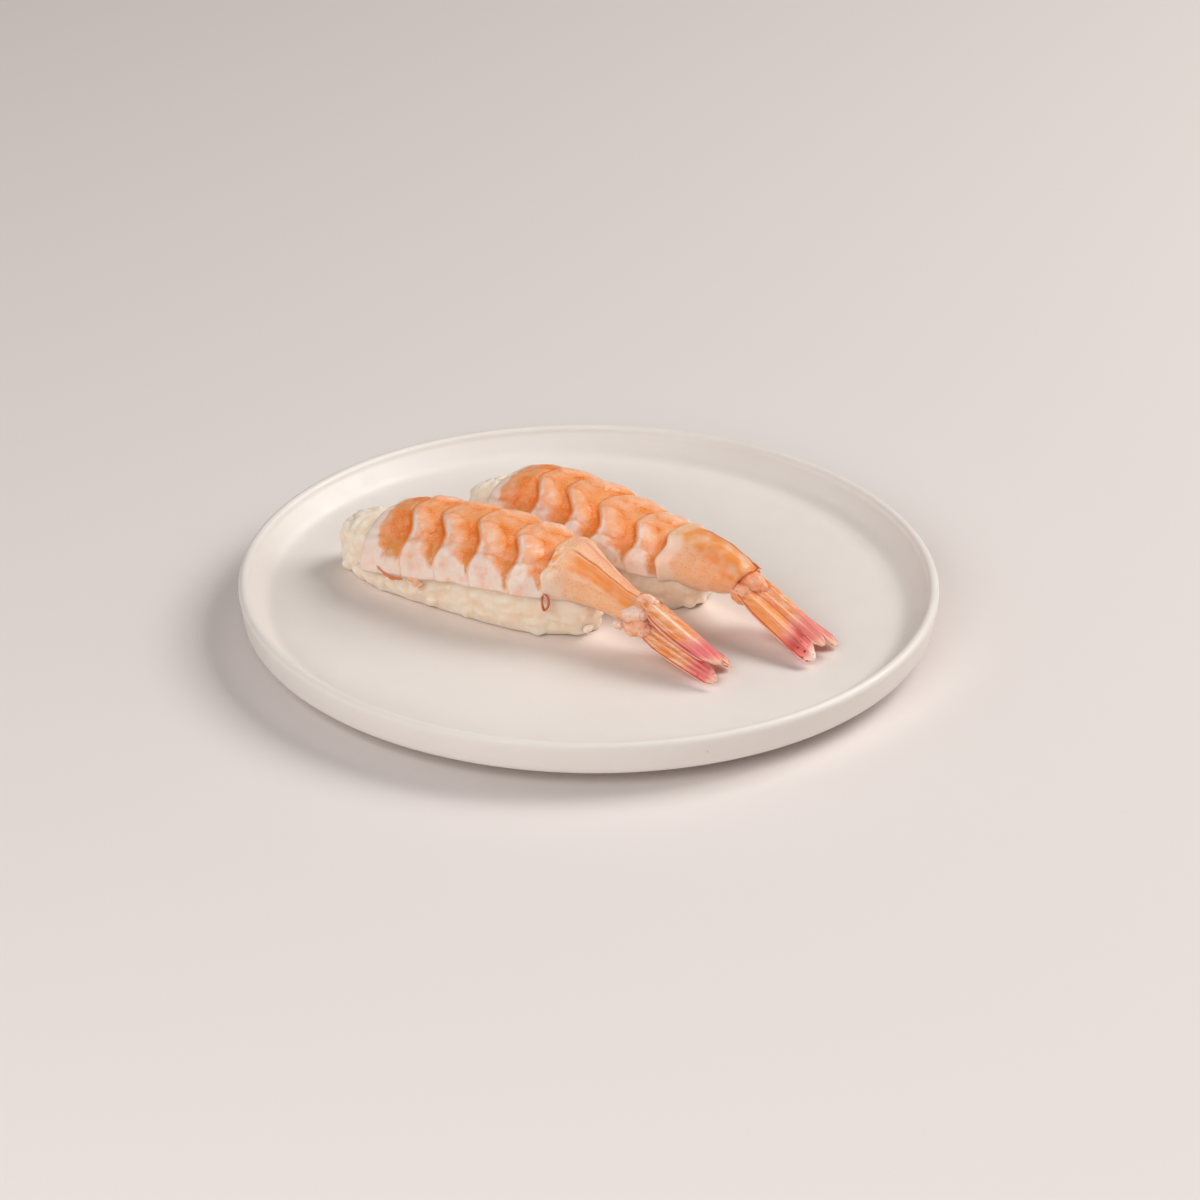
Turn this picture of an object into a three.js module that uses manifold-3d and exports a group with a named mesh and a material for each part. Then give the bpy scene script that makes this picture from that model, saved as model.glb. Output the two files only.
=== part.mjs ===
// Two pieces of shrimp nigiri sushi on a small round plate with a low raised edge.
// Each piece is a pressed block of rice with a boiled, opened shrimp laid over it, its tail shell left on.
// Millimetres, +Z up. The origin is the middle of the plate's foot, on the surface the plate stands on.
// A piece has its own axes: s runs along it from head end to tail, t to its left, h up from the plate.

import * as THREE from "three";
import { mergeVertices } from "three/addons/utils/BufferGeometryUtils.js";
import Module from "manifold-3d";

const wasm = await Module();
wasm.setup();

// Driving dimensions of the plate
const PLATE_RADIUS = 75;
const PLATE_HEIGHT = 11;
const FLOOR_HEIGHT = 5.8; // top of the flat inside
const FLOOR_RADIUS = 66.5; // where the flat inside starts to curve up
const WALL_THICKNESS = 3;
const FOOT_RADIUS = 42;
const FOOT_WIDTH = 4;
const FOOT_HEIGHT = 2.2;
const PLATE_SEGMENTS = 72;

// Driving dimensions of the rice
const GAP = 0.3; // between pieces that touch
const GRAIN_LENGTH = 6;
const GRAIN_WIDTH = 2.7;
const GRAIN_SIDES = 6;
const GRAIN_RINGS = 4;
const GRAINS_AROUND = 16;
const GRAIN_ROWS = [-0.62, -0.2, 0.25]; // height of each row, as a share of the block's half height
const GRAIN_SCATTER = 0.4; // of the step from one grain to the next
const GRAIN_STAGGER = 0.5; // of that step, from one row to the next
const GRAIN_RISE = 0.14; // scatter of the grains' heights in a row
const GRAIN_SLANT = 1.2; // scatter of the grains' slopes
const RICE_POWER = 3.2; // squareness of the pressed block
const RICE_TAPER = 0.2; // how much slimmer its ends are, and how much lower its tail end is
const TAPER_START = 0.5; // share of the half length where the taper starts

// Driving dimensions of the shrimp's flesh
const FLESH_SIDES = 18;
const FLESH_RINGS = 34;
const FLESH_POWER = 2.2; // squareness of its section
const FLESH_OVERLAP = 4; // its length beyond the last joint, round the start of the shell
const SEGMENT_RELIEF = 0.8;
const HEAD_ROUNDING = 3; // length over which the cut head end rounds in
const HEAD_SHRINK = 0.4; // how much the section's square shrinks at the cut
const SWELL_REACH = 0.3; // how far below the sides' middle the relief reaches
const SWELL_PEAK = 0.6; // below 1 the relief peaks before the middle of a segment
const SKIRT_THICKNESS = 1.6;

// Driving dimensions of the tail: its shell, the keel's spike, and the fan of blades
const SHELL_SIDES = 14;
const SHELL_RINGS = 12;
const SHELL_RADIUS = 5.4;
const SHELL_END = 0.52; // share of the tail line that the shell covers
const SHELL_SLIMMING = 0.25; // how much slimmer the shell is at its end
const KEEL_RELIEF = 0.18;
const KEEL_SPREAD = 0.4; // half width of the keel round the shell, in radians
const SPIKE_RADIUS = 1;
const SPIKE_START = 0.38; // shares of the tail line where the spike starts and ends
const SPIKE_END = 0.51;
const SPIKE_ROOT_RISE = 3.9;
const SPIKE_TIP_RISE = 4.3;
const KNOB_RADIUS = 2.4;
const KNOB_ASIDE = 3;
const KNOB_DROP = 2;
const FAN_START = 0.46; // share of the tail line where the fan starts
const BLADE_SIDES = 8;
const BLADE_RINGS = 8;
const BLADE_THICKNESS = 1.3;
const BLADE_ROOF = 0.06; // how fast the blade falls away from its ridge, per mm squared
const BLADE_WIDEST = 0.75; // share of the blade's length from which it keeps its width
const ROOT_NARROWING = 0.6; // how much closer the blades are at their roots
const BLADES = [
  { side: 1, width: 6.4, lift: -0.6, reach: 1 },
  { side: 0.5, width: 5, lift: 0.2, reach: 0.97 },
  { side: 0, width: 4, lift: 1.2, reach: 0.8 },
  { side: -0.5, width: 5, lift: 0.2, reach: 0.97 },
  { side: -1, width: 6.4, lift: -0.6, reach: 1 },
];

// The two pieces. Where a value changes along the piece it is a list of [s, value] pairs:
// sway is the sideways bend, crest the height of the back, skirt the height of the hanging edge,
// and tail the height of the tail line. The joints are where one segment ends and the next starts.
const PIECES = [
  {
    name: "front",
    at: [-24.6, -0.8],
    heading: -31.5,
    rice: { length: 64, width: 21.4, height: 13.6, middle: -0.8, seed: 3 },
    sway: [[-30, 0], [14, 0], [28, 0], [43, -2.4], [66, -4]],
    joints: [-22, -13, -4.6, 5.4, 14, 25],
    crest: [[-22, 15.6], [-13, 18.4], [4, 19.8], [16, 19.4], [26, 17.6], [30, 15]],
    halfWidth: [[-22, 11.6], [-14, 12.2], [10, 12.2], [18, 11.4], [25, 8.8], [30, 6.4]],
    skirt: [[-22, 5], [-10, 6.8], [3, 9], [15, 10], [30, 9.6]],
    tail: [[21.5, 13.4], [34, 12.4], [43, 9.8], [54, 5.2], [65, 0.9]],
    fan: { spread: 3.4, lean: 0.35 },
  },
  {
    name: "back",
    at: [0.5, 16.3],
    heading: -38,
    rice: { length: 65, width: 21.4, height: 12.4, middle: 0.5, seed: 11 },
    sway: [[-30, 0], [18, 0], [30, -0.8], [46, -4], [67, -4.5]],
    joints: [-22.5, -10, -2, 6, 15.5, 25],
    crest: [[-22.5, 14.8], [-14, 17.2], [-3, 17], [12, 14.8], [25, 13.4], [30, 12]],
    halfWidth: [[-22.5, 11.4], [-14, 11.9], [8, 11.9], [17, 11], [25, 8.8], [30, 6.4]],
    skirt: [[-22.5, 4.5], [-10, 6.5], [3, 8.3], [15, 7.6], [30, 6.8]],
    tail: [[22, 10.8], [34, 12], [46, 11.2], [56, 6.2], [66.5, 0.9]],
    fan: { spread: 4, lean: 0.6 },
  },
];

// A small repeatable random source, so that every build is the same.
function randomSource(seed) {
  let state = seed >>> 0;
  return () => {
    state = (Math.imul(state, 1664525) + 1013904223) >>> 0;
    return state / 4294967296;
  };
}

// A closed three.js geometry with every vertex moved by place(vertex).
function reshaped(geometry, place) {
  geometry.deleteAttribute("normal");
  geometry.deleteAttribute("uv");
  const merged = mergeVertices(geometry, 1e-4);
  const position = merged.getAttribute("position");
  const vertex = new THREE.Vector3();
  for (let i = 0; i < position.count; i++) {
    vertex.fromBufferAttribute(position, i);
    place(vertex);
    position.setXYZ(i, vertex.x, vertex.y, vertex.z);
  }
  return merged;
}

// The solid of a closed geometry.
function solidOf(geometry) {
  return new wasm.Manifold(
    new wasm.Mesh({
      numProp: 3,
      vertProperties: new Float32Array(geometry.getAttribute("position").array),
      triVerts: new Uint32Array(geometry.index.array),
    }),
  );
}

// The geometry of a solid.
function geometryOf(solid) {
  const mesh = solid.getMesh();
  const points = new Float32Array(mesh.numVert * 3);
  for (let i = 0; i < mesh.numVert; i++) {
    const start = i * mesh.numProp;
    points.set(mesh.vertProperties.subarray(start, start + 3), i * 3);
  }
  const geometry = new THREE.BufferGeometry();
  geometry.setAttribute("position", new THREE.BufferAttribute(points, 3));
  geometry.setIndex(new THREE.BufferAttribute(new Uint32Array(mesh.triVerts), 1));
  geometry.computeVertexNormals();
  return geometry;
}

// The value at x on a soft line through a few [x, value] pairs.
function softLine(pairs, x) {
  if (x <= pairs[0][0]) return pairs[0][1];
  for (let i = 1; i < pairs.length; i++) {
    const [x0, a] = pairs[i - 1];
    const [x1, b] = pairs[i];
    if (x > x1) continue;
    const straight = (x - x0) / (x1 - x0);
    const eased = THREE.MathUtils.smoothstep(x, x0, x1);
    return THREE.MathUtils.lerp(a, b, (straight + eased) / 2);
  }
  return pairs[pairs.length - 1][1];
}

// Distance from the middle to the surface of a unit superellipsoid or superellipse, along a unit direction.
function squareReach(power, ...direction) {
  const sum = direction.reduce((total, part) => total + Math.abs(part) ** power, 0);
  return sum ** (-1 / power);
}

// The plate, turned from its section: foot ring, rounded outside, rounded lip, sloping wall and flat inside.
function plateGeometry() {
  const footOuter = FOOT_RADIUS + FOOT_WIDTH / 2;
  const footInner = FOOT_RADIUS - FOOT_WIDTH / 2;
  const lipRadius = WALL_THICKNESS / 2;
  const lipCentre = PLATE_RADIUS - lipRadius;
  const lipHeight = PLATE_HEIGHT - lipRadius;
  const outside = new THREE.CubicBezierCurve(
    new THREE.Vector2(FLOOR_RADIUS - 4, FOOT_HEIGHT + 0.3),
    new THREE.Vector2(PLATE_RADIUS - 5.5, FOOT_HEIGHT + 0.6),
    new THREE.Vector2(PLATE_RADIUS - 1.2, FOOT_HEIGHT + 3),
    new THREE.Vector2(PLATE_RADIUS, lipHeight),
  );
  const lip = new THREE.EllipseCurve(lipCentre, lipHeight, lipRadius, lipRadius, 0, Math.PI);
  const inside = new THREE.CubicBezierCurve(
    new THREE.Vector2(lipCentre - lipRadius, lipHeight),
    new THREE.Vector2(lipCentre - lipRadius - 1.2, FLOOR_HEIGHT + 1.6),
    new THREE.Vector2(FLOOR_RADIUS + 2.5, FLOOR_HEIGHT),
    new THREE.Vector2(FLOOR_RADIUS, FLOOR_HEIGHT),
  );
  const outline = [
    new THREE.Vector2(0, FOOT_HEIGHT),
    new THREE.Vector2(footInner, FOOT_HEIGHT),
    new THREE.Vector2(footInner + 0.6, 0),
    new THREE.Vector2(footOuter - 0.6, 0),
    new THREE.Vector2(footOuter, FOOT_HEIGHT),
    ...outside.getPoints(4),
    ...lip.getPoints(6).slice(1),
    ...inside.getPoints(5).slice(1),
    new THREE.Vector2(0, FLOOR_HEIGHT),
  ];
  return new THREE.LatheGeometry(outline, PLATE_SEGMENTS).rotateX(Math.PI / 2);
}

// A point of the rice block's surface for a unit direction from its middle, grown outwards by extra.
function onRice({ rice, sway }, direction, extra) {
  const reach = squareReach(RICE_POWER, direction.x, direction.y, direction.z);
  const towardsEnd = direction.x * reach;
  const slimmer = 1 - RICE_TAPER * THREE.MathUtils.smoothstep(Math.abs(towardsEnd), TAPER_START, 1);
  const lower = 1 - RICE_TAPER * THREE.MathUtils.smoothstep(towardsEnd, TAPER_START, 1);
  const halfWidth = (rice.width / 2) * slimmer;
  const halfHeight = (rice.height / 2) * lower;
  const s = rice.middle + (rice.length / 2 + extra) * direction.x * reach;
  const t = (halfWidth + extra) * direction.y * reach;
  const h = GAP + halfHeight + (halfHeight + extra) * direction.z * reach;
  return new THREE.Vector3(s, t + softLine(sway, s), h);
}

// The bare rice block, grown by extra.
function riceCore(piece, extra) {
  const ball = new THREE.SphereGeometry(1, 22, 14).rotateZ(Math.PI / 2);
  return solidOf(reshaped(ball, (v) => v.copy(onRice(piece, v.normalize(), extra))));
}

// One grain of boiled rice, lying at a point with its length along a direction.
function grain(point, along) {
  const ball = new THREE.SphereGeometry(1, GRAIN_SIDES, GRAIN_RINGS);
  const turn = new THREE.Quaternion().setFromUnitVectors(new THREE.Vector3(0, 1, 0), along);
  return solidOf(
    reshaped(ball, (v) => {
      v.set((v.x * GRAIN_WIDTH) / 2, (v.y * GRAIN_LENGTH) / 2, (v.z * GRAIN_WIDTH) / 2);
      v.applyQuaternion(turn).add(point);
    }),
  );
}

// Height above the plate under which grains stay clear of the shrimp at s.
function grainCeiling({ joints, skirt, tail }, s) {
  const underSkirt = softLine(skirt, s) - GAP;
  const underShell = softLine(tail, s) - SHELL_RADIUS - 2 * GAP;
  return s + GRAIN_LENGTH / 2 > joints[5] ? Math.min(underSkirt, underShell) : underSkirt;
}

// The grains that show on the block's sides and ends, half sunk in it and clear of shrimp and plate.
function riceGrains(piece) {
  const random = randomSource(piece.rice.seed);
  const grains = [];
  for (const [row, rise] of GRAIN_ROWS.entries()) {
    for (let i = 0; i < GRAINS_AROUND; i++) {
      const place = i + row * GRAIN_STAGGER + GRAIN_SCATTER * random();
      const angle = (place / GRAINS_AROUND) * Math.PI * 2;
      const lift = rise + GRAIN_RISE * random();
      const flat = Math.sqrt(1 - lift * lift);
      const direction = new THREE.Vector3(Math.cos(angle) * flat, Math.sin(angle) * flat, lift);
      const point = onRice(piece, direction, -GRAIN_WIDTH / 4);
      const slant = GRAIN_SLANT * (random() - 0.5);
      const along = new THREE.Vector3(-Math.sin(angle), Math.cos(angle), slant);
      along.normalize();
      const halfHeight = GRAIN_WIDTH / 2 + Math.abs(along.z) * (GRAIN_LENGTH / 2 - GRAIN_WIDTH / 2);
      point.z = Math.max(point.z, halfHeight + GAP);
      const beforeHead = point.x + GRAIN_LENGTH / 2 < piece.joints[0] - GAP;
      const underShrimp = point.z + halfHeight < grainCeiling(piece, point.x);
      if (beforeHead || underShrimp) grains.push(grain(point, along));
    }
  }
  return grains;
}

// The rice of one piece: its core with the showing grains fused on.
function riceSolid(piece) {
  return wasm.Manifold.union([riceCore(piece, 0), ...riceGrains(piece)]);
}

// How far the skin stands proud at s: it rises fast behind each joint, then falls away slowly.
function segmentSwell({ joints }, s) {
  for (let i = 1; i < joints.length; i++) {
    if (s >= joints[i]) continue;
    const share = THREE.MathUtils.clamp((s - joints[i - 1]) / (joints[i] - joints[i - 1]), 0, 1);
    return SEGMENT_RELIEF * Math.sin(Math.PI * share ** SWELL_PEAK);
  }
  return 0;
}

// The flesh of the shrimp as it lies over the rice, hollow where rice and shell are.
function fleshSolid(piece) {
  const start = piece.joints[0];
  const finish = piece.joints[piece.joints.length - 1] + FLESH_OVERLAP;
  const tube = new THREE.CylinderGeometry(1, 1, 1, FLESH_SIDES, FLESH_RINGS).rotateZ(Math.PI / 2);
  const body = reshaped(tube, (v) => {
    const s = THREE.MathUtils.lerp(start, finish, 0.5 + v.x);
    const radial = Math.hypot(v.y, v.z);
    const side = v.y / (radial || 1);
    const up = v.z / (radial || 1);
    const fromHead = Math.min(1, (s - start) / HEAD_ROUNDING);
    const lip = Math.sqrt(1 - HEAD_SHRINK * (1 - fromHead) ** 2);
    const low = softLine(piece.skirt, s);
    const swell = segmentSwell(piece, s) * Math.max(0, up + SWELL_REACH);
    const reach = squareReach(FLESH_POWER, side, up) * lip * radial;
    const t = (softLine(piece.halfWidth, s) + swell) * side * reach;
    const rise = softLine(piece.crest, s) - low + swell;
    const height = up > 0 ? rise * reach : (SKIRT_THICKNESS / 2) * radial;
    v.set(s, t + softLine(piece.sway, s), low + up * height);
  });
  return solidOf(body).subtract(riceCore(piece, GAP)).subtract(shellSolid(piece, GAP));
}

// The line that the tail follows, from inside the last flesh segment down to the fan's tips on the plate.
function tailLine({ tail, sway }) {
  return new THREE.CatmullRomCurve3(tail.map(([s, h]) => new THREE.Vector3(s, softLine(sway, s), h)));
}

// The tail's place at a share of its line: the point there and the directions ahead, sideways and up.
function tailPlace(piece, share) {
  const line = tailLine(piece);
  const point = line.getPoint(share);
  const ahead = line.getTangent(share);
  const side = new THREE.Vector3(-ahead.y, ahead.x, 0).normalize();
  const up = new THREE.Vector3().crossVectors(ahead, side);
  return { point, ahead, side, up };
}

// A point beside the tail line, so far sideways and up from it.
function besideTail(piece, share, sideways, upwards) {
  const { point, side, up } = tailPlace(piece, share);
  return point.addScaledVector(side, sideways).addScaledVector(up, upwards);
}

// The last segment in its shell: a keeled spindle round the first half of the tail line, grown by extra.
function shellSolid(piece, extra) {
  const ball = new THREE.SphereGeometry(1, SHELL_SIDES, SHELL_RINGS).rotateZ(Math.PI / 2);
  return solidOf(
    reshaped(ball, (v) => {
      const share = (v.x + 1) / 2;
      const { point, ahead, side, up } = tailPlace(piece, SHELL_END * share);
      const belly = Math.sqrt(1 - v.x * v.x) || 1;
      const fromKeel = Math.atan2(v.y, v.z) / KEEL_SPREAD;
      const keel = 1 + KEEL_RELIEF * Math.exp(-(fromKeel ** 2));
      const radius = (SHELL_RADIUS * (1 - SHELL_SLIMMING * share)) / Math.sqrt(belly);
      point.addScaledVector(side, v.y * (radius + extra));
      point.addScaledVector(up, v.z * (radius * keel + extra));
      v.copy(point.addScaledVector(ahead, v.x * extra));
    }),
  );
}

// The spike in which the shell's keel ends, over the root of the fan.
function spikeSolid(piece) {
  const base = besideTail(piece, SPIKE_START, 0, SPIKE_ROOT_RISE);
  const tip = besideTail(piece, SPIKE_END, 0, SPIKE_TIP_RISE);
  const length = base.distanceTo(tip);
  const ahead = tip.clone().sub(base).normalize();
  const turn = new THREE.Quaternion().setFromUnitVectors(new THREE.Vector3(0, 1, 0), ahead);
  const cone = new THREE.CylinderGeometry(SPIKE_RADIUS / 5, SPIKE_RADIUS, length, 6);
  return solidOf(reshaped(cone.translate(0, length / 2, 0), (v) => v.applyQuaternion(turn).add(base)));
}

// The knob under the joint, on one side, that carries the blades of that side.
function knobSolid(piece, side) {
  const middle = besideTail(piece, FAN_START, side * KNOB_ASIDE, -KNOB_DROP);
  const ball = new THREE.SphereGeometry(KNOB_RADIUS, 8, 6);
  return solidOf(reshaped(ball, (v) => v.add(middle)));
}

// One flat blade of the fan from root to tip, its section a low roof, leaning over sideways.
function bladeSolid(root, tip, width, lean) {
  const ahead = new THREE.Vector3().subVectors(tip, root);
  const length = ahead.length();
  ahead.normalize();
  const side = new THREE.Vector3(-ahead.y, ahead.x, 0).normalize().applyAxisAngle(ahead, lean);
  const up = new THREE.Vector3().crossVectors(ahead, side);
  const ball = new THREE.SphereGeometry(1, BLADE_SIDES, BLADE_RINGS).rotateZ(Math.PI / 2);
  return solidOf(
    reshaped(ball, (v) => {
      const share = (v.x + 1) / 2;
      const belly = Math.sqrt(1 - v.x * v.x) || 1;
      const spread = 0.5 + 0.5 * Math.sin(Math.PI * Math.min(BLADE_WIDEST, share));
      const across = (v.y / Math.sqrt(belly)) * (width / 2) * spread;
      const roof = (v.z * BLADE_THICKNESS) / 2 - BLADE_ROOF * across * across;
      v.copy(root).addScaledVector(ahead, share * length);
      v.addScaledVector(side, across).addScaledVector(up, roof);
      v.z = Math.max(v.z, GAP);
    }),
  );
}

// The fan: a narrow spiked blade in the middle and two wide ones on each side, spreading to the plate.
function fanSolids(piece) {
  const { spread, lean } = piece.fan;
  return BLADES.map(({ side, width, lift, reach }) => {
    const root = besideTail(piece, FAN_START, side * spread * ROOT_NARROWING, lift);
    const tip = besideTail(piece, 1, side * spread, Math.max(lift, 0));
    return bladeSolid(root, root.clone().lerp(tip, reach), width, -side * lean);
  });
}

// The tail in one piece: shell, spike, knobs and fan, cut where it lies on the rice.
function tailSolid(piece) {
  const parts = [
    shellSolid(piece, 0),
    spikeSolid(piece),
    knobSolid(piece, 1),
    knobSolid(piece, -1),
    ...fanSolids(piece),
  ];
  return wasm.Manifold.union(parts).subtract(riceCore(piece, GAP));
}

function material(color, roughness) {
  return new THREE.MeshStandardMaterial({ color, roughness, metalness: 0 });
}

function named(name, geometry, look) {
  const mesh = new THREE.Mesh(geometry, look);
  mesh.name = name;
  return mesh;
}

const looks = {
  plate: material("#ece6e0", 0.5),
  rice: material("#e9e3cf", 0.45),
  flesh: material("#f0b48f", 0.35),
  shell: material("#e8844f", 0.3),
};

const dish = new THREE.Group();
dish.add(named("plate", plateGeometry(), looks.plate));
for (const piece of PIECES) {
  const group = new THREE.Group();
  group.position.set(piece.at[0], piece.at[1], FLOOR_HEIGHT);
  group.rotation.z = THREE.MathUtils.degToRad(piece.heading);
  group.add(named(`${piece.name}_rice`, geometryOf(riceSolid(piece)), looks.rice));
  group.add(named(`${piece.name}_shrimp`, geometryOf(fleshSolid(piece)), looks.flesh));
  group.add(named(`${piece.name}_tail`, geometryOf(tailSolid(piece)), looks.shell));
  dish.add(group);
}

export default dish;
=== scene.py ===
"""Looks of shrimp nigiri on a small round plate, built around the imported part.

Each piece is a block of boiled rice with an opened shrimp draped over it, its tail shell and fan left on.
The sizes of the food are millimetres on a piece's own axes: s runs along it from head end to tail, t to its
left and h up from the plate. The meshes are metres in the part's frame.
"""

import logging
import math
import random
from collections.abc import Callable
from dataclasses import dataclass
from enum import Enum

import bmesh
import bpy
from bmesh.types import BMesh
from bpy.types import Material, Node, NodeSocket, Object
from mathutils import Matrix, Quaternion, Vector, noise


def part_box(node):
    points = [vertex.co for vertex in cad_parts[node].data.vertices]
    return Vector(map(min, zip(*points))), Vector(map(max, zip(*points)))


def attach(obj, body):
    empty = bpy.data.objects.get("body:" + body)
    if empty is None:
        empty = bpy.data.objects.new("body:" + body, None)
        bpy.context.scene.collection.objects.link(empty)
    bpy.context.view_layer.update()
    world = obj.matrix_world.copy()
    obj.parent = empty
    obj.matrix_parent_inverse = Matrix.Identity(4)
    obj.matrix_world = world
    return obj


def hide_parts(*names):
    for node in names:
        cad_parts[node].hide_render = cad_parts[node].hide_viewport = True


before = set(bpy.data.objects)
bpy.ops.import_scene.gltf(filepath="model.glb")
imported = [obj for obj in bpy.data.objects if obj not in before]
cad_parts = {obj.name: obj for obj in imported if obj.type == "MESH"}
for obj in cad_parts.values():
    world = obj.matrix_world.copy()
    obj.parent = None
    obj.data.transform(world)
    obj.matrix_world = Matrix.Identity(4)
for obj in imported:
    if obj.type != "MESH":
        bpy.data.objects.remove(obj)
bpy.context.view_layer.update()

MM = 0.001
GAP = 0.3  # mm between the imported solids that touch
ALONG = -35.0  # degrees, the way both shrimp point, about
ACROSS = ALONG + 90
LOG = logging.getLogger("shrimp_nigiri")

Point = tuple[float, float]  # radius and height in mm
Place = tuple[float, float, float]  # s, t and h in mm
Numbers = dict[str, float]  # what a finish reads at a vertex
Feed = NodeSocket | float | tuple  # what a node's input takes

LOBES_AT = 0.4  # share of a segment's length at which its lobes bulge most
SHELL_RIDGES = ((1.0, 0.0, 0.2), (0.4, 0.55, 0.16))  # share of the keel, turn to the far side, width
SHELL_GROOVES = ((0.16, 0.0, 0.03), (0.2, -0.3, 0.13), (0.12, -1.25, 0.2))  # mm, turn to the far side, width


class Slot(Enum):
    """Material slots of the record."""

    PLATE = "plate"
    RICE = "rice"
    FLESH = "shrimp_flesh"
    SHELL = "shrimp_shell"


def smooth(x: float, low: float, high: float) -> float:
    """Ease from 0 at low to 1 at high.

    Args:
        x: The value.
        low: Where the ease starts.
        high: Where it ends.

    Returns:
        A number from 0 to 1.
    """
    share = min(1.0, max(0.0, (x - low) / (high - low)))
    return share * share * (3 - 2 * share)


def fade(x: float, low: float, high: float) -> float:
    """Ease from 1 at low to 0 at high."""
    return 1 - smooth(x, low, high)


def hump(x: float, middle: float, width: float) -> float:
    """Give 1 at the middle and fall away on both sides over about the width."""
    return math.exp(-(((x - middle) / width) ** 2))


def rounded(over: float, reach: float = 1.0) -> float:
    """Give the share of the full size that a rounded end has left so far over its start."""
    return math.sqrt(max(0.0, 1 - (max(0.0, over) / reach) ** 2))


def wobble(*place: float) -> float:
    """Give soft noise about 0 at a place of three numbers."""
    return noise.noise(Vector(place))


def square_reach(power: float, *direction: float) -> float:
    """Find the surface of a unit superellipsoid or superellipse along a unit direction.

    Args:
        power: Its squareness, where 2 is round.
        direction: The parts of the unit direction.

    Returns:
        The distance from the middle.
    """
    return sum(abs(part) ** power for part in direction) ** (-1 / power)


def colour(code: str) -> tuple[float, float, float, float]:
    """Turn a colour as a screen shows it into the renderer's own values.

    Args:
        code: Six hexadecimal digits after a hash sign.

    Returns:
        Linear red, green, blue and a full alpha.
    """
    parts = [int(code[i : i + 2], 16) / 255 for i in (1, 3, 5)]
    linear = [p / 12.92 if p <= 0.04045 else ((p + 0.055) / 1.055) ** 2.4 for p in parts]
    return (*linear, 1.0)


@dataclass(frozen=True)
class SoftLine:
    """A soft line through a few (x, value) knots."""

    knots: tuple[tuple[float, float], ...]

    def at(self, x: float) -> float:
        """Read the line.

        Args:
            x: Where to read it.

        Returns:
            The value there, held level beyond the first and last knots.
        """
        if x <= self.knots[0][0]:
            return self.knots[0][1]
        for (x0, a), (x1, b) in zip(self.knots, self.knots[1:]):
            if x <= x1:
                straight = (x - x0) / (x1 - x0)
                return a + (b - a) * (straight + smooth(x, x0, x1)) / 2
        return self.knots[-1][1]


@dataclass(frozen=True)
class Axes:
    """A piece's own axes on the plate."""

    at: tuple[float, float]
    heading: float
    floor: float

    def place(self, point: Vector) -> Vector:
        """Take a point of the piece, in mm, into the part's frame, in metres."""
        turned = Matrix.Rotation(math.radians(self.heading), 3, "Z") @ point
        return (turned + Vector((*self.at, self.floor))) * MM

    def local(self, point: Vector) -> Vector:
        """Take a point of the part's frame, in metres, back onto the piece's axes, in mm."""
        moved = point / MM - Vector((*self.at, self.floor))
        return Matrix.Rotation(math.radians(-self.heading), 3, "Z") @ moved


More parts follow.
